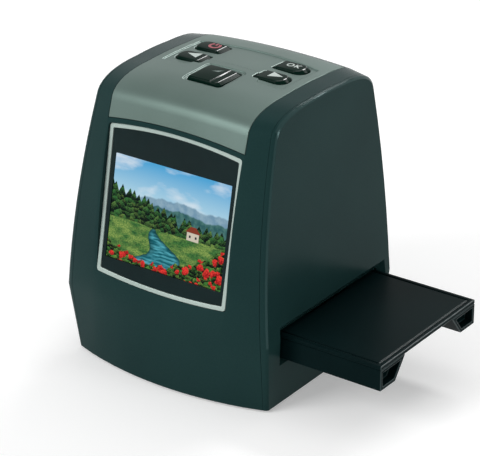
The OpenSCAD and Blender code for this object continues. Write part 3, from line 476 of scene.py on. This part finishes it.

# %% [markdown]
# ## Rubbed edges and painted highlights
# Hands and cloths rub a moulded piece where it stands out, and its fine grain is polished away
# there. A mask in the material could fade one finish into the other, but the edges are narrow
# and have faces of their own, so these faces simply get a second finish of the same plastic or
# paint with a stronger mirror, in which the strip lamps shine. They are found by the way they
# lean. On the side covers the rounded edge round the flat face keeps the plastic's colour and is
# smoother. On the film holder the small faces that lean to the right, and on the panel the left
# rims of the landings round the keys, are also paler: a painted highlight where they lean towards
# the strip lamps.

# %% Polish the rubbed edges
panel_left, panel_right = (corner.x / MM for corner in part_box("top_panel"))
LANDINGS_FROM, LANDINGS_TO = panel_left + 3, panel_right - 15


def rubbed_and_highlit(name, finish, test):
    """A second finish for faces that pass the test of their lean, middle and area, in mm."""
    piece = mouldings[name]
    piece.data.materials.append(materials[finish])
    for face in piece.data.polygons:
        if test(face.normal, face.center / MM, face.area / MM ** 2):
            face.material_index = 1
    print(piece.name, "rubbed faces:", sum(face.material_index for face in piece.data.polygons))


def cover_edge(lean, middle, area):
    """A narrow face of the side cover's rounded edge, turned outwards and not down."""
    outwards = 0.7 < abs(lean.x) < 0.9 or (0.5 < abs(lean.x) <= 0.7 and lean.z > 0.6)
    return area < 6 and lean.z > -0.05 and outwards


def holder_end(lean, middle, area):
    """A small face leaning right, to the pulled end: it gets the painted highlight."""
    return area < 30 and 0.25 < lean.x < 0.95


def landing_rim(lean, middle, area):
    """A face among the panel's landings that leans a little to the right."""
    return 0.2 < lean.x < 0.65 and lean.z > 0.7 and LANDINGS_FROM < middle.x < LANDINGS_TO


for name, finish, test in (
        ("left_moulding", "housing_edge", cover_edge),
        ("right_moulding", "housing_edge", cover_edge),
        ("holder_tray", "holder_edge", holder_end),
        ("holder_cover", "holder_edge", holder_end),
        ("silver_panel", "panel_edge", landing_rim)):
    rubbed_and_highlit(name, finish, test)

# %% [markdown]
# ## Keys
# Each key is one moulding: a flange that keeps it under the panel, and a cap that falls away at
# its ends, so that a finger slides off without catching. It could be cut from a block with
# booleans, which leave thin slivers where surfaces nearly meet. Drawing it up in stages keeps
# the mesh clean. In each stage the faces or edges to work on are chosen by their place.

# %% Choose parts of a mesh by their place
def choose(piece, kind, test):
    """Selects, in edit mode, the polygons, edges or vertices whose points pass the test."""
    bpy.ops.object.mode_set(mode="OBJECT")
    mesh = piece.data
    for group in (mesh.vertices, mesh.edges, mesh.polygons):
        group.foreach_set("select", [False] * len(group))
    for part in getattr(mesh, kind):
        corners = [part.index] if kind == "vertices" else part.vertices
        part.select = bool(test([mesh.vertices[i].co for i in corners]))
    bpy.ops.object.mode_set(mode="EDIT")


INK_T = 0.04 * MM  # the ink film of a sign, which lies on a cap that is lower by as much


def key_corners(key):
    """Lowest and highest corner of a key without its ink."""
    low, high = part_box(key + "_button")
    return low, high - Vector((0, 0, INK_T))


print("scan key from", [round(c / MM, 1) for c in key_corners("scan")[0]], "mm")

# %% [markdown]
# ### The flange
# The flange is a thin plate with rounded corners. The two corners on a key's outer side follow
# the panel's round end and have a larger radius. A disc could be stretched to that shape, but
# bevelling the four upright edges of a block gives true arcs.

# %% A key's flange
FLANGE, FLANGE_T = 0.9 * MM, 0.9 * MM  # how far the flange stands out, and its thickness
CORNER_STEPS = 10


def flange_block(key, corner_mm, outer_mm, side):
    """Block of a flange. Its end on the outer side, -1 left or 1 right, has the larger radius."""
    low, high = key_corners(key)
    middle, size = (low + high) / 2, high - low
    bpy.ops.object.select_all(action="DESELECT")
    bpy.ops.mesh.primitive_cube_add(size=1, location=(0, 0, 0))
    piece = bpy.context.object
    piece.name = key + "_cap"
    for finish in ("button_black", "button_crease"):
        piece.data.materials.append(materials[finish])
    piece.data.transform(Matrix.Translation((middle.x, middle.y, low.z + FLANGE_T / 2))
                         @ Matrix.Diagonal((size.x, size.y, FLANGE_T, 1)))
    bpy.ops.object.mode_set(mode="EDIT")
    bpy.ops.mesh.select_mode(type="EDGE")
    for end in (-1, 1):
        radius = (outer_mm if end == side else corner_mm) * MM + FLANGE
        choose(piece, "edges", lambda points: (
            abs(points[0].z - points[1].z) > FLANGE_T / 2 and (points[0].x - middle.x) * end > 0))
        bpy.ops.mesh.bevel(offset=radius, segments=CORNER_STEPS, affect="EDGES")
    return piece


print("flange", FLANGE / MM, "mm out,", FLANGE_T / MM, "mm thick")

# %% [markdown]
# ### The cap
# A second block could stand on the flange, but its foot would be a seam. So the flange's top is
# inset and drawn up straight, and cap and flange are one skin. The last millimetre is drawn up
# too, and then made smaller, which leans all its walls at once.

# %% A key's cap
CAP_FALL, CAP_EDGE = 1.0 * MM, 0.4 * MM  # height of the leaning walls, and their lean sideways


def draw_cap(piece, low, high, ends_mm):
    """Draws the cap up from the flange. Its left and right end lean in by ends_mm."""
    size = high - low
    bpy.ops.mesh.select_mode(type="FACE")
    choose(piece, "polygons", lambda points: min(p.z for p in points) > low.z + FLANGE_T / 2)
    bpy.ops.mesh.inset(thickness=FLANGE)
    for rise in (size.z - FLANGE_T - CAP_FALL, CAP_FALL):
        bpy.ops.mesh.extrude_region_move(TRANSFORM_OT_translate={"value": (0, 0, rise)})
    cap_x, cap_y = size.x - 2 * FLANGE, size.y - 2 * FLANGE
    both_ends = sum(ends_mm) * MM
    still = low.x + FLANGE + cap_x * ends_mm[0] * MM / both_ends  # the place that doesn't move
    bpy.ops.transform.resize(value=(1 - both_ends / cap_x, 1 - 2 * CAP_EDGE / cap_y, 1),
                             center_override=(still, (low.y + high.y) / 2, high.z))


print("cap falls away over", CAP_FALL / MM, "mm")

# %% [markdown]
# ### Step and creases
# The scan key has a small step across its top. It could be cut out, but it takes only two cuts
# across the top and a push down on what lies to their right. Then each crease round a cap's top
# is bevelled. The bevel gives its new faces the second finish, and only those that lean to the
# right keep it: a glossier and slightly paler black, partly a painted highlight, in which the
# strip lamps shine.

# %% A key's step and creases
STEP_FALL, STEP_RUN = 0.22 * MM, 0.35 * MM
TOP_BAND = STEP_FALL + 0.01 * MM  # depth below the highest point in which all of the top lies
CREASE, CREASE_STEPS = 0.22 * MM, 4
SMOOTH = radians(40)


def press_step(piece, high, start):
    """Presses the part of the top to the right of start down by STEP_FALL, along a short slope."""
    for cut in (start, start + STEP_RUN):
        bpy.ops.mesh.select_all(action="SELECT")
        bpy.ops.mesh.bisect(plane_co=(cut, 0, 0), plane_no=(1, 0, 0))
    choose(piece, "vertices", lambda points: (
        points[0].z > high.z - TOP_BAND and points[0].x > start + STEP_RUN / 2))
    bpy.ops.transform.translate(value=(0, 0, -STEP_FALL))


def round_creases(piece, high, step_start):
    """Bevels the creases round the top; those leaning right get a partly painted highlight."""
    bpy.ops.mesh.select_mode(type="EDGE")
    choose(piece, "edges", lambda points: min(p.z for p in points) > high.z - TOP_BAND)
    bpy.ops.mesh.bevel(
        offset=CREASE, segments=CREASE_STEPS, profile=0.5, affect="EDGES", material=1)
    bpy.ops.object.mode_set(mode="OBJECT")
    bpy.ops.object.shade_smooth_by_angle(angle=SMOOTH)
    for face in piece.data.polygons:
        on_step = step_start is not None and face.normal.z > 0.5 and (
            abs(face.center.x - step_start - STEP_RUN / 2) < STEP_RUN / 2)
        # faces leaning right, towards the strip lamps, get the painted highlight
        bright = face.normal.x > 0.15 and (face.material_index or on_step)
        face.material_index = 1 if bright else 0


print("creases have a radius of", CREASE / MM, "mm")

# %% [markdown]
# ### The five keys
# The outer keys are a pair at either end of the panel, and the scan key lies between them. Five
# keys could be drawn one by one, but one function with a row of sizes for each makes them alike.

# %% Make the five keys
KEYS = (  # key, radii of its inner and outer corners, outer side, lean of its ends, step, in mm
    ("power", 0.8, 3.2, -1, (0.9, 1.9), 0),
    ("left", 0.8, 3.2, -1, (0.9, 1.9), 0),
    ("right", 0.8, 3.2, 1, (0.9, 1.3), 0),
    ("ok", 0.8, 3.2, 1, (0.9, 1.3), 0),
    ("scan", 1.2, 1.2, 0, (0.7, 1.7), 4.4),
)


def make_key(key, corner_mm, outer_mm, side, ends_mm, step_mm):
    """One key. Its step, if it has one, is so many mm from its cap's right edge."""
    low, high = key_corners(key)
    piece = flange_block(key, corner_mm, outer_mm, side)
    draw_cap(piece, low, high, ends_mm)
    step_start = high.x - FLANGE - step_mm * MM if step_mm else None
    if step_mm:
        press_step(piece, high, step_start)
    round_creases(piece, high, step_start)
    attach(piece, key + "_key")
    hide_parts(key + "_button")
    print(piece.name, "faces:", len(piece.data.polygons), "top at", round(high.z / MM, 2), "mm")


for row in KEYS:
    make_key(*row)

# %% [markdown]
# ## Signs on the keys
# The signs are pad-printed: a film of ink some hundredths of a millimetre thick. They could be
# painted by nodes, but a shape of its own keeps a crisp edge at any distance. Each is a flat
# shape that is given its thickness and laid on its cap. The ink dries with a fine orange peel
# of about 0.1 mm, drawn 0.2 mm wide to show.

# %% Ink
# milky white, dull red and half-worn grey: all soft and without a sharp highlight
for tone, dark, light in (("white", "#b3bfba", "#c3cdc9"), ("red", "#8c3541", "#a0404c"),
                          ("grey", "#5b6d68", "#687b76")):
    materials["ink_" + tone] = textured("pad-printing ink, " + tone, dark, light, 0.2, 0.002, 0.45)


def printed(piece, key, ink, shift_mm):
    """Gives a flat sign its ink thickness and lays it on a key, shifted from the middle."""
    low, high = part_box(key + "_button")
    alone(piece)
    bpy.ops.object.mode_set(mode="EDIT")
    bpy.ops.mesh.select_all(action="SELECT")
    bpy.ops.mesh.extrude_region_move(TRANSFORM_OT_translate={"value": (0, 0, INK_T)})
    bpy.ops.mesh.select_all(action="SELECT")
    bpy.ops.mesh.normals_make_consistent(inside=False)
    bpy.ops.object.mode_set(mode="OBJECT")
    middle = (low + high) / 2
    piece.data.transform(Matrix.Translation((
        middle.x + shift_mm[0] * MM, middle.y + shift_mm[1] * MM, high.z - INK_T)))
    piece.data.materials.clear()
    piece.data.materials.append(materials[ink])
    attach(piece, key + "_key")
    print(piece.name, "printed on the", key, "key")


# %% [markdown]
# ### Arrows
# An arrow's three corners could be typed in for each direction. A disc of three sides has them
# ready, and is drawn longer than wide and turned. Its corners lie on a circle, so its base is
# 2 cos 30 times the radius wide, and its height is one and a half times the radius.

# %% Print the arrows
def arrow(key, ink, base_mm, length_mm, turn, shift_mm):
    """Triangle that points back until it is turned."""
    bpy.ops.object.select_all(action="DESELECT")
    bpy.ops.mesh.primitive_circle_add(vertices=3, radius=1, fill_type="NGON")
    piece = bpy.context.object
    piece.name = key + "_sign"
    wide, long = base_mm / (2 * cos(radians(30))), length_mm / 1.5
    piece.data.transform(Matrix.Rotation(turn, 4, "Z")
                         @ Matrix.Diagonal((wide * MM, long * MM, 1, 1)))
    printed(piece, key, ink, shift_mm)


arrow("left", "ink_white", 4.3, 4.9, radians(90), (0.45, 1.0))
arrow("right", "ink_white", 4.3, 5.1, radians(-90), (-0.25, 1.0))
arrow("scan", "ink_grey", 4.3, 1.05, radians(216), (-0.3, 2.6))

# %% [markdown]
# ### Power sign
# The sign is a ring with a gap, and a bar in the gap. The gap could be cut from a whole ring.
# Here a strip as wide as the line is squeezed to an edge and spun round most of a circle, which
# leaves the gap by itself.

# %% Print the power sign
RING_R, RING_W = 1.9 * MM, 1.0 * MM
RING_FROM, RING_TURN, RING_STEPS = radians(125), radians(290), 28
BAR_W, BAR_UP = 0.8 * RING_W, 0.7 * RING_R
POWER_SHIFT = (0.8, 0.7)  # in mm, for ring and bar
THREAD = 0.001 * MM  # corners nearer than this are one

bpy.ops.object.select_all(action="DESELECT")
bpy.ops.mesh.primitive_plane_add(size=1)
ring = bpy.context.object
ring.name = "power_sign"
ring.data.transform(Matrix.Rotation(RING_FROM, 4, "Z") @ Matrix.Translation((RING_R, 0, 0))
                    @ Matrix.Diagonal((RING_W, THREAD / 10, 1, 1)))
alone(ring)
bpy.ops.object.mode_set(mode="EDIT")
bpy.ops.mesh.select_mode(type="VERT")
bpy.ops.mesh.select_all(action="SELECT")
bpy.ops.mesh.remove_doubles(threshold=THREAD)
bpy.ops.mesh.spin(steps=RING_STEPS, angle=-RING_TURN, center=(0, 0, 0), axis=(0, 0, 1))
bpy.ops.mesh.select_all(action="SELECT")
bpy.ops.mesh.remove_doubles(threshold=THREAD)
bpy.ops.object.mode_set(mode="OBJECT")
printed(ring, "power", "ink_red", POWER_SHIFT)

bpy.ops.object.select_all(action="DESELECT")
bpy.ops.mesh.primitive_plane_add(size=1)
bar = bpy.context.object
bar.name = "power_bar"
bar.data.transform(Matrix.Translation((0, BAR_UP, 0)) @ Matrix.Diagonal((BAR_W, RING_R, 1, 1)))
printed(bar, "power", "ink_red", POWER_SHIFT)

# %% [markdown]
# ### Lettering
# Letters could be made of strips, as the power sign is. A text object has them ready, made a
# little bolder by its offset. It becomes a mesh before it is laid in place.

# %% Print the lettering
LETTER, BOLDER, SPACING = 3.6 * MM, 0.1 * MM, 1.15

bpy.ops.object.select_all(action="DESELECT")
bpy.ops.object.text_add(location=(0, 0, 0))
word = bpy.context.object
word.name = "ok_sign"
word.data.body = "OK"
word.data.size = LETTER
word.data.align_x, word.data.align_y = "CENTER", "CENTER"
word.data.space_character = SPACING
word.data.offset = BOLDER
alone(word)
bpy.ops.object.convert(target="MESH")
printed(bpy.context.object, "ok", "ink_white", (0, 0.6))

# %% [markdown]
# ## Display
# The lit display shows a valley with a stream, a cottage and red flowers. A picture file would
# be simpler, but this one is painted by nodes and stays sharp at any size. Each layer covers
# what lies below a line, from the sky down to the flowers in front.
#
# The pattern is first turned into the plane of the leaning screen, so that u runs across it and
# v up it, in millimetres from its middle. The glass is smooth liquid crystal behind a clear
# sheet: it shines by itself and mirrors very little.

# %% The picture's plane
SCREEN_LEAN = radians(11.5)
lit, lit_shader = finish_named(
    "display, lit", Roughness=0.12, Base_Color=linear("#04080a"), Specular_IOR_Level=0.03,
    Emission_Strength=0.85)
paint = partial(add, lit.node_tree)

screen_low, screen_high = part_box("lcd_glass")
centre = (screen_low + screen_high) / 2
centred = paint("Mapping", {
    "Vector": paint("TexCoord").outputs["Object"], "Location": tuple(-c for c in centre)})
screen = paint("Mapping", {
    "Vector": centred, "Rotation": (SCREEN_LEAN - pi / 2, 0, 0), "Scale": (1 / MM,) * 3})
axes = paint("SeparateXYZ", {"Vector": screen})
u, v = axes.outputs["X"], axes.outputs["Y"]
print("display centre at", [round(c / MM, 1) for c in centre], "mm")

# %% [markdown]
# ### Patches and lines
# The parts of the picture could each have a pattern of their own. One kind of noise is enough
# for nearly all of them: as it is, it makes patches of two shades, and squashed flat, it changes
# only from left to right, which gives the height of a jagged line.

# %% Patches, lines and layers
CRISP = 0.15  # mm either side of an edge, about one pixel of such a display


def patches(scale, seed, detail=3.0, squash=1.0):
    """Noise patches; a squash over 1 makes them low and wide, 0 lets them change only across."""
    spot = paint("Mapping", {
        "Vector": screen, "Location": (0, 0, seed), "Scale": (1, squash, 0)})
    return paint("TexNoise", {"Vector": spot, "Scale": scale, "Detail": detail})


def two_tone(scale, seed, dark, light, squash=1.0):
    """Dark and light patches of one layer."""
    share = paint("MapRange", {
        "Value": patches(scale, seed, 4.0, squash), "From Min": 0.38, "From Max": 0.62})
    return paint("Mix", {0: share, 1: linear(dark), 2: linear(light)}, data_type="RGBA")


def line(height, scale, seed, rise, detail=5.0):
    """Jagged line at a height in mm over the middle of the screen, with peaks of about rise."""
    return paint("Math", {0: patches(scale, seed, detail, 0.0), 1: rise, 2: height - rise / 2},
                 operation="MULTIPLY_ADD")


def below(height, soft=CRISP):
    """1 below a line and 0 above it, with an edge that is so many mm soft."""
    depth = paint("Math", {0: height, 1: v}, operation="SUBTRACT")
    return paint("MapRange", {"Value": depth, "From Min": -soft, "From Max": soft})


print("patches, lines and layers are ready")

# %% [markdown]
# ### Leaves
# Foliage is too fine to draw leaf by leaf. The cells of a Voronoi pattern stand for clumps: each
# has its own shade of green, is light above and dark below, and has a ragged edge, because the
# pattern's coordinates are shaken by noise.

# %% Clumps of leaves
SHAKE, SHAKE_FINE = 0.9, 1.4  # how far and how finely a cell is shaken, in shares of its size
CLUMP_SPREAD, LEAF_GRAIN = 0.9, 3.4  # how far clumps and single leaves differ in brightness
LEAVES_PER_MM = 3.4
LEAF_DARK, LEAF_LIGHT = -0.3, 0.95


def cells(size_mm, seed):
    """Ragged cells: distance from their middle, a random colour each, and height in the cell."""
    across, up = [paint("Math", {
        0: patches(SHAKE_FINE / size_mm, seed + i, 4.0), 1: size_mm * SHAKE, 2: axis},
        operation="MULTIPLY_ADD") for i, axis in enumerate((u, v))]
    spot = paint("CombineXYZ", {"X": across, "Y": up})
    made = paint("TexVoronoi", {"Vector": spot, "Scale": 1 / size_mm}, voronoi_dimensions="2D")
    heart = paint("SeparateXYZ", {"Vector": made.outputs["Position"]})
    over = paint("Math", {0: up, 1: heart.outputs["Y"]}, operation="SUBTRACT")
    rise = paint("Math", {0: over, 1: size_mm}, operation="DIVIDE")
    chance = paint("SeparateColor", {"Color": made.outputs["Color"]})
    return made.outputs["Distance"], chance, rise


def leaves(size_mm, seed, dark, light, warm):
    """Foliage of clumps of about size_mm, from a light to a warm green."""
    _, chance, rise = cells(size_mm, seed)
    clump = paint("Math", {0: chance.outputs[0], 1: CLUMP_SPREAD, 2: rise},
                  operation="MULTIPLY_ADD")
    leaf = paint("Math", {
        0: patches(LEAVES_PER_MM, seed + 5.0, 5.0), 1: LEAF_GRAIN, 2: clump},
        operation="MULTIPLY_ADD")
    middle = (CLUMP_SPREAD + LEAF_GRAIN) / 2
    lightness = paint("MapRange", {
        "Value": leaf, "From Min": middle + LEAF_DARK, "From Max": middle + LEAF_LIGHT})
    warmth = paint("Math", {0: chance.outputs[1], 1: 2.0}, operation="POWER")
    green = paint("Mix", {0: warmth, 1: linear(light), 2: linear(warm)}, data_type="RGBA")
    return paint("Mix", {0: lightness, 1: linear(dark), 2: green}, data_type="RGBA")


print("leaves differ by", LEAF_GRAIN, "and clumps by", CLUMP_SPREAD)

# %% [markdown]
# ### Sky and hills
# The sky is paler near the hills, with long low clouds. Two rows of hills follow, the further one
# bluer, as haze makes it. Their outlines could be drawn as curves, but a noise that changes only
# across the picture gives such a line in two nodes.

# %% Paint the sky and the hills
SKY_LOW, SKY_HIGH = 3.0, 18.0  # mm over the middle, between which the blue deepens
sky_share = paint("MapRange", {"Value": v, "From Min": SKY_LOW, "From Max": SKY_HIGH})
picture = paint("Mix", {0: sky_share, 1: linear("#c4e8f6"), 2: linear("#55aee2")},
                data_type="RGBA")
cloud = paint("MapRange", {
    "Value": patches(0.055, seed=3.0, detail=6.0, squash=2.6), "From Min": 0.5, "From Max": 0.74})
picture = paint("Mix", {0: cloud, 1: picture, 2: linear("#f4faff")}, data_type="RGBA")

far_hills = line(7.0, scale=0.05, seed=11.0, rise=14.0)
near_hills = line(4.0, scale=0.08, seed=12.0, rise=10.0)
for top, soft, shades in (
        (far_hills, 0.3, two_tone(0.4, 5.0, "#7a9fb8", "#94b4c6")),
        (near_hills, 0.25, two_tone(0.6, 6.0, "#2f5f62", "#4e7d78"))):
    picture = paint("Mix", {0: below(top, soft), 1: picture, 2: shades}, data_type="RGBA")
print("nodes so far:", len(lit.node_tree.nodes))

# %% [markdown]
# ### Wood
# Each tree could be a shape of its own. At this size the wood's edge is enough: a line with a
# pointed tip over each cell of a row, which rises to the left by the square of the distance.

# %% Paint the wood
TREES_PER_MM, TIP_MM = 0.42, 4.5
WOOD_MM, WOOD_RIGHT, WOOD_RISE = -0.5, 24.5, 0.0034  # height, right end and rise per mm squared
row = paint("TexVoronoi", {"W": u, "Scale": TREES_PER_MM}, voronoi_dimensions="1D")
edge = line(WOOD_MM + TIP_MM / 2, scale=0.16, seed=23.0, rise=7.0, detail=6.0)
tips = paint("Math", {0: row.outputs["Distance"], 1: -TIP_MM, 2: edge}, operation="MULTIPLY_ADD")
from_right = paint("Math", {0: WOOD_RIGHT, 1: u}, operation="SUBTRACT")
squared = paint("Math", {0: from_right, 1: from_right}, operation="MULTIPLY")
wood = paint("Math", {0: squared, 1: WOOD_RISE, 2: tips}, operation="MULTIPLY_ADD")
trees = leaves(1.7, 7.0, "#03120d", "#3c7a3c", "#7c9c4c")
picture = paint("Mix", {0: below(wood), 1: picture, 2: trees}, data_type="RGBA")
print("nodes so far:", len(lit.node_tree.nodes))

# %% [markdown]
# ### Meadow and cottage
# Wide, low patches of two greens make the meadow. The cottage is four shapes: wall, roof and two
# windows. Each is a box between two heights, whose sides may lean in as they rise, as the roof's
# do: a point is inside if it lies far enough from every side.

# %% Paint the meadow and the cottage
meadow = line(-3.6, scale=0.05, seed=31.0, rise=3.0, detail=1.0)
dry = paint("MapRange", {
    "Value": patches(0.16, seed=49.0, detail=2.0, squash=2.5), "From Min": 0.4, "From Max": 0.62})
grass = paint("Mix", {
    0: dry, 1: two_tone(1.6, 9.0, "#23512b", "#4f8440", 2.0),
    2: two_tone(1.6, 10.0, "#4c7a38", "#9db55e", 2.0)}, data_type="RGBA")
picture = paint("Mix", {0: below(meadow), 1: picture, 2: grass}, data_type="RGBA")

COTTAGE = (  # middle, base and top in mm, half the width at the base, lean, colour
    (11.0, -4.2, -1.2, 2.6, 0.0, "#d9cfbc"),
    (11.0, -1.3, 0.9, 3.3, 1.0, "#8c3b26"),
    (9.8, -3.2, -2.2, 0.45, 0.0, "#2c3238"),
    (12.3, -3.2, -2.2, 0.45, 0.0, "#2c3238"),
)
for middle, base, top, half, lean, colour in COTTAGE:
    aside = paint("Math", {0: u, 1: middle}, operation="SUBTRACT")
    aside = paint("Math", {0: aside}, operation="ABSOLUTE")
    side = paint("Math", {0: v, 1: -lean, 2: half + lean * base}, operation="MULTIPLY_ADD")
    inside = paint("Math", {0: side, 1: aside}, operation="SUBTRACT")
    for upper, lower in ((v, base), (top, v)):
        inside = paint("Math", {
            0: inside, 1: paint("Math", {0: upper, 1: lower}, operation="SUBTRACT")},
            operation="MINIMUM")
    shape = paint("MapRange", {"Value": inside, "From Min": 0.0, "From Max": CRISP})
    picture = paint("Mix", {0: shape, 1: picture, 2: linear(colour)}, data_type="RGBA")
print("nodes so far:", len(lit.node_tree.nodes))

# %% [markdown]
# ### Stream
# The stream could follow a drawn curve. A sine wave that slants to the side and is shaken a
# little by noise bends as well and needs no curve. It widens towards the viewer, and its water
# is darker along the banks. Wide, flat patches make ripples.

# %% Paint the stream
BENDS, BEND_MM, SLANT = 0.36, 5.0, 0.55  # bends in radians per mm, their reach, and the slant
STREAM_TOP, WIDENING = -3.0, 0.72  # height where it begins, half width gained per mm below it
SHORE, DEEP = 0.1, 2.5  # mm: softness of the bank's edge, and distance to the full colour

turn = paint("Math", {0: v, 1: BENDS}, operation="MULTIPLY")
wave = paint("Math", {0: turn}, operation="SINE")
shaken = line(2.0, scale=0.6, seed=37.0, rise=2.0)
course = paint("Math", {0: v, 1: SLANT, 2: shaken}, operation="MULTIPLY_ADD")
course = paint("Math", {0: wave, 1: BEND_MM, 2: course}, operation="MULTIPLY_ADD")
aside = paint("Math", {0: u, 1: course}, operation="SUBTRACT")
aside = paint("Math", {0: aside}, operation="ABSOLUTE")
half_width = paint("Math", {0: v, 1: -WIDENING, 2: STREAM_TOP * WIDENING},
                   operation="MULTIPLY_ADD")
from_bank = paint("Math", {0: half_width, 1: aside}, operation="SUBTRACT")
wet = paint("MapRange", {"Value": from_bank, "From Min": -SHORE, "From Max": SHORE})
stream = paint("Math", {0: wet, 1: below(meadow)}, operation="MULTIPLY")
deep = paint("MapRange", {"Value": from_bank, "From Min": 0.0, "From Max": DEEP})
water = paint("Mix", {
    0: deep, 1: linear("#0b3f42"), 2: two_tone(0.25, 13.0, "#0c5f6b", "#58b3c2", 6.0)},
    data_type="RGBA")
picture = paint("Mix", {0: stream, 1: picture, 2: water}, data_type="RGBA")
print("nodes so far:", len(lit.node_tree.nodes))

# %% [markdown]
# ### Flowers
# Bushes stand in front, higher to the right. Flowers could be modelled, but on a screen they are
# red spots: cells of the same pattern as the leaves, in two sizes. Only some of the cells bloom,
# each to its own width, lighter above than below.

# %% Paint the flowers in front
FRONT_MM, FRONT_LEFT, FRONT_RISE = -16.5, -6.0, 0.014157  # height, lowest place, rise
FLOWERS = ((2.8, 19.0, 0.4), (4.0, 27.0, 0.25))  # size in mm, seed, share of cells without one
REACH, REACH_SPREAD = 0.26, 0.14  # a flower's radius in shares of its size, and what chance adds
PETAL_EDGE, FLOWERS_OVER = 0.05, 0.3  # softness of that radius, and mm over the bushes' line
PETAL_GRAIN, PETAL_DARK, PETAL_LIGHT = 2.0, -0.35, 0.4

from_left = paint("Math", {0: u, 1: FRONT_LEFT}, operation="SUBTRACT")
squared = paint("Math", {0: from_left, 1: from_left}, operation="MULTIPLY")
front = line(FRONT_MM, scale=0.3, seed=43.0, rise=7.0, detail=4.0)
front = paint("Math", {0: squared, 1: FRONT_RISE, 2: front}, operation="MULTIPLY_ADD")
bushes = leaves(1.3, 15.0, "#020c07", "#4a8c3c", "#8fae4e")
picture = paint("Mix", {0: below(front), 1: picture, 2: bushes}, data_type="RGBA")
flower_top = paint("Math", {0: front, 1: FLOWERS_OVER}, operation="ADD")
for size_mm, seed, bare in FLOWERS:
    distance, chance, rise = cells(size_mm, seed)
    reach = paint("Math", {0: chance.outputs[1], 1: REACH_SPREAD, 2: REACH},
                  operation="MULTIPLY_ADD")
    inside = paint("Math", {0: reach, 1: distance}, operation="SUBTRACT")
    bloom = paint("MapRange", {"Value": inside, "From Min": 0.0, "From Max": PETAL_EDGE})
    for limit in (paint("Math", {0: chance.outputs[0], 1: bare}, operation="GREATER_THAN"),
                  below(flower_top)):
        bloom = paint("Math", {0: bloom, 1: limit}, operation="MULTIPLY")
    petals = paint("Math", {0: patches(2.0, seed), 1: PETAL_GRAIN, 2: rise},
                   operation="MULTIPLY_ADD")
    light = paint("MapRange", {
        "Value": petals, "From Min": PETAL_GRAIN / 2 + PETAL_DARK,
        "From Max": PETAL_GRAIN / 2 + PETAL_LIGHT})
    red = paint("Mix", {0: light, 1: linear("#8e0a12"), 2: linear("#ff4238")}, data_type="RGBA")
    picture = paint("Mix", {0: bloom, 1: picture, 2: red}, data_type="RGBA")
fill(lit.node_tree, lit_shader, {"Emission Color": picture})
refinish("lcd_glass", lit)
print("nodes in the display's picture:", len(lit.node_tree.nodes))

# %% [markdown]
# ## Sizes
# The finish must not change the size of the object, so the box of the CAD model is written.

# %% Write the CAD box
print("CAD box", [[round(x / MM, 2) for x in c] for c in cad_box])
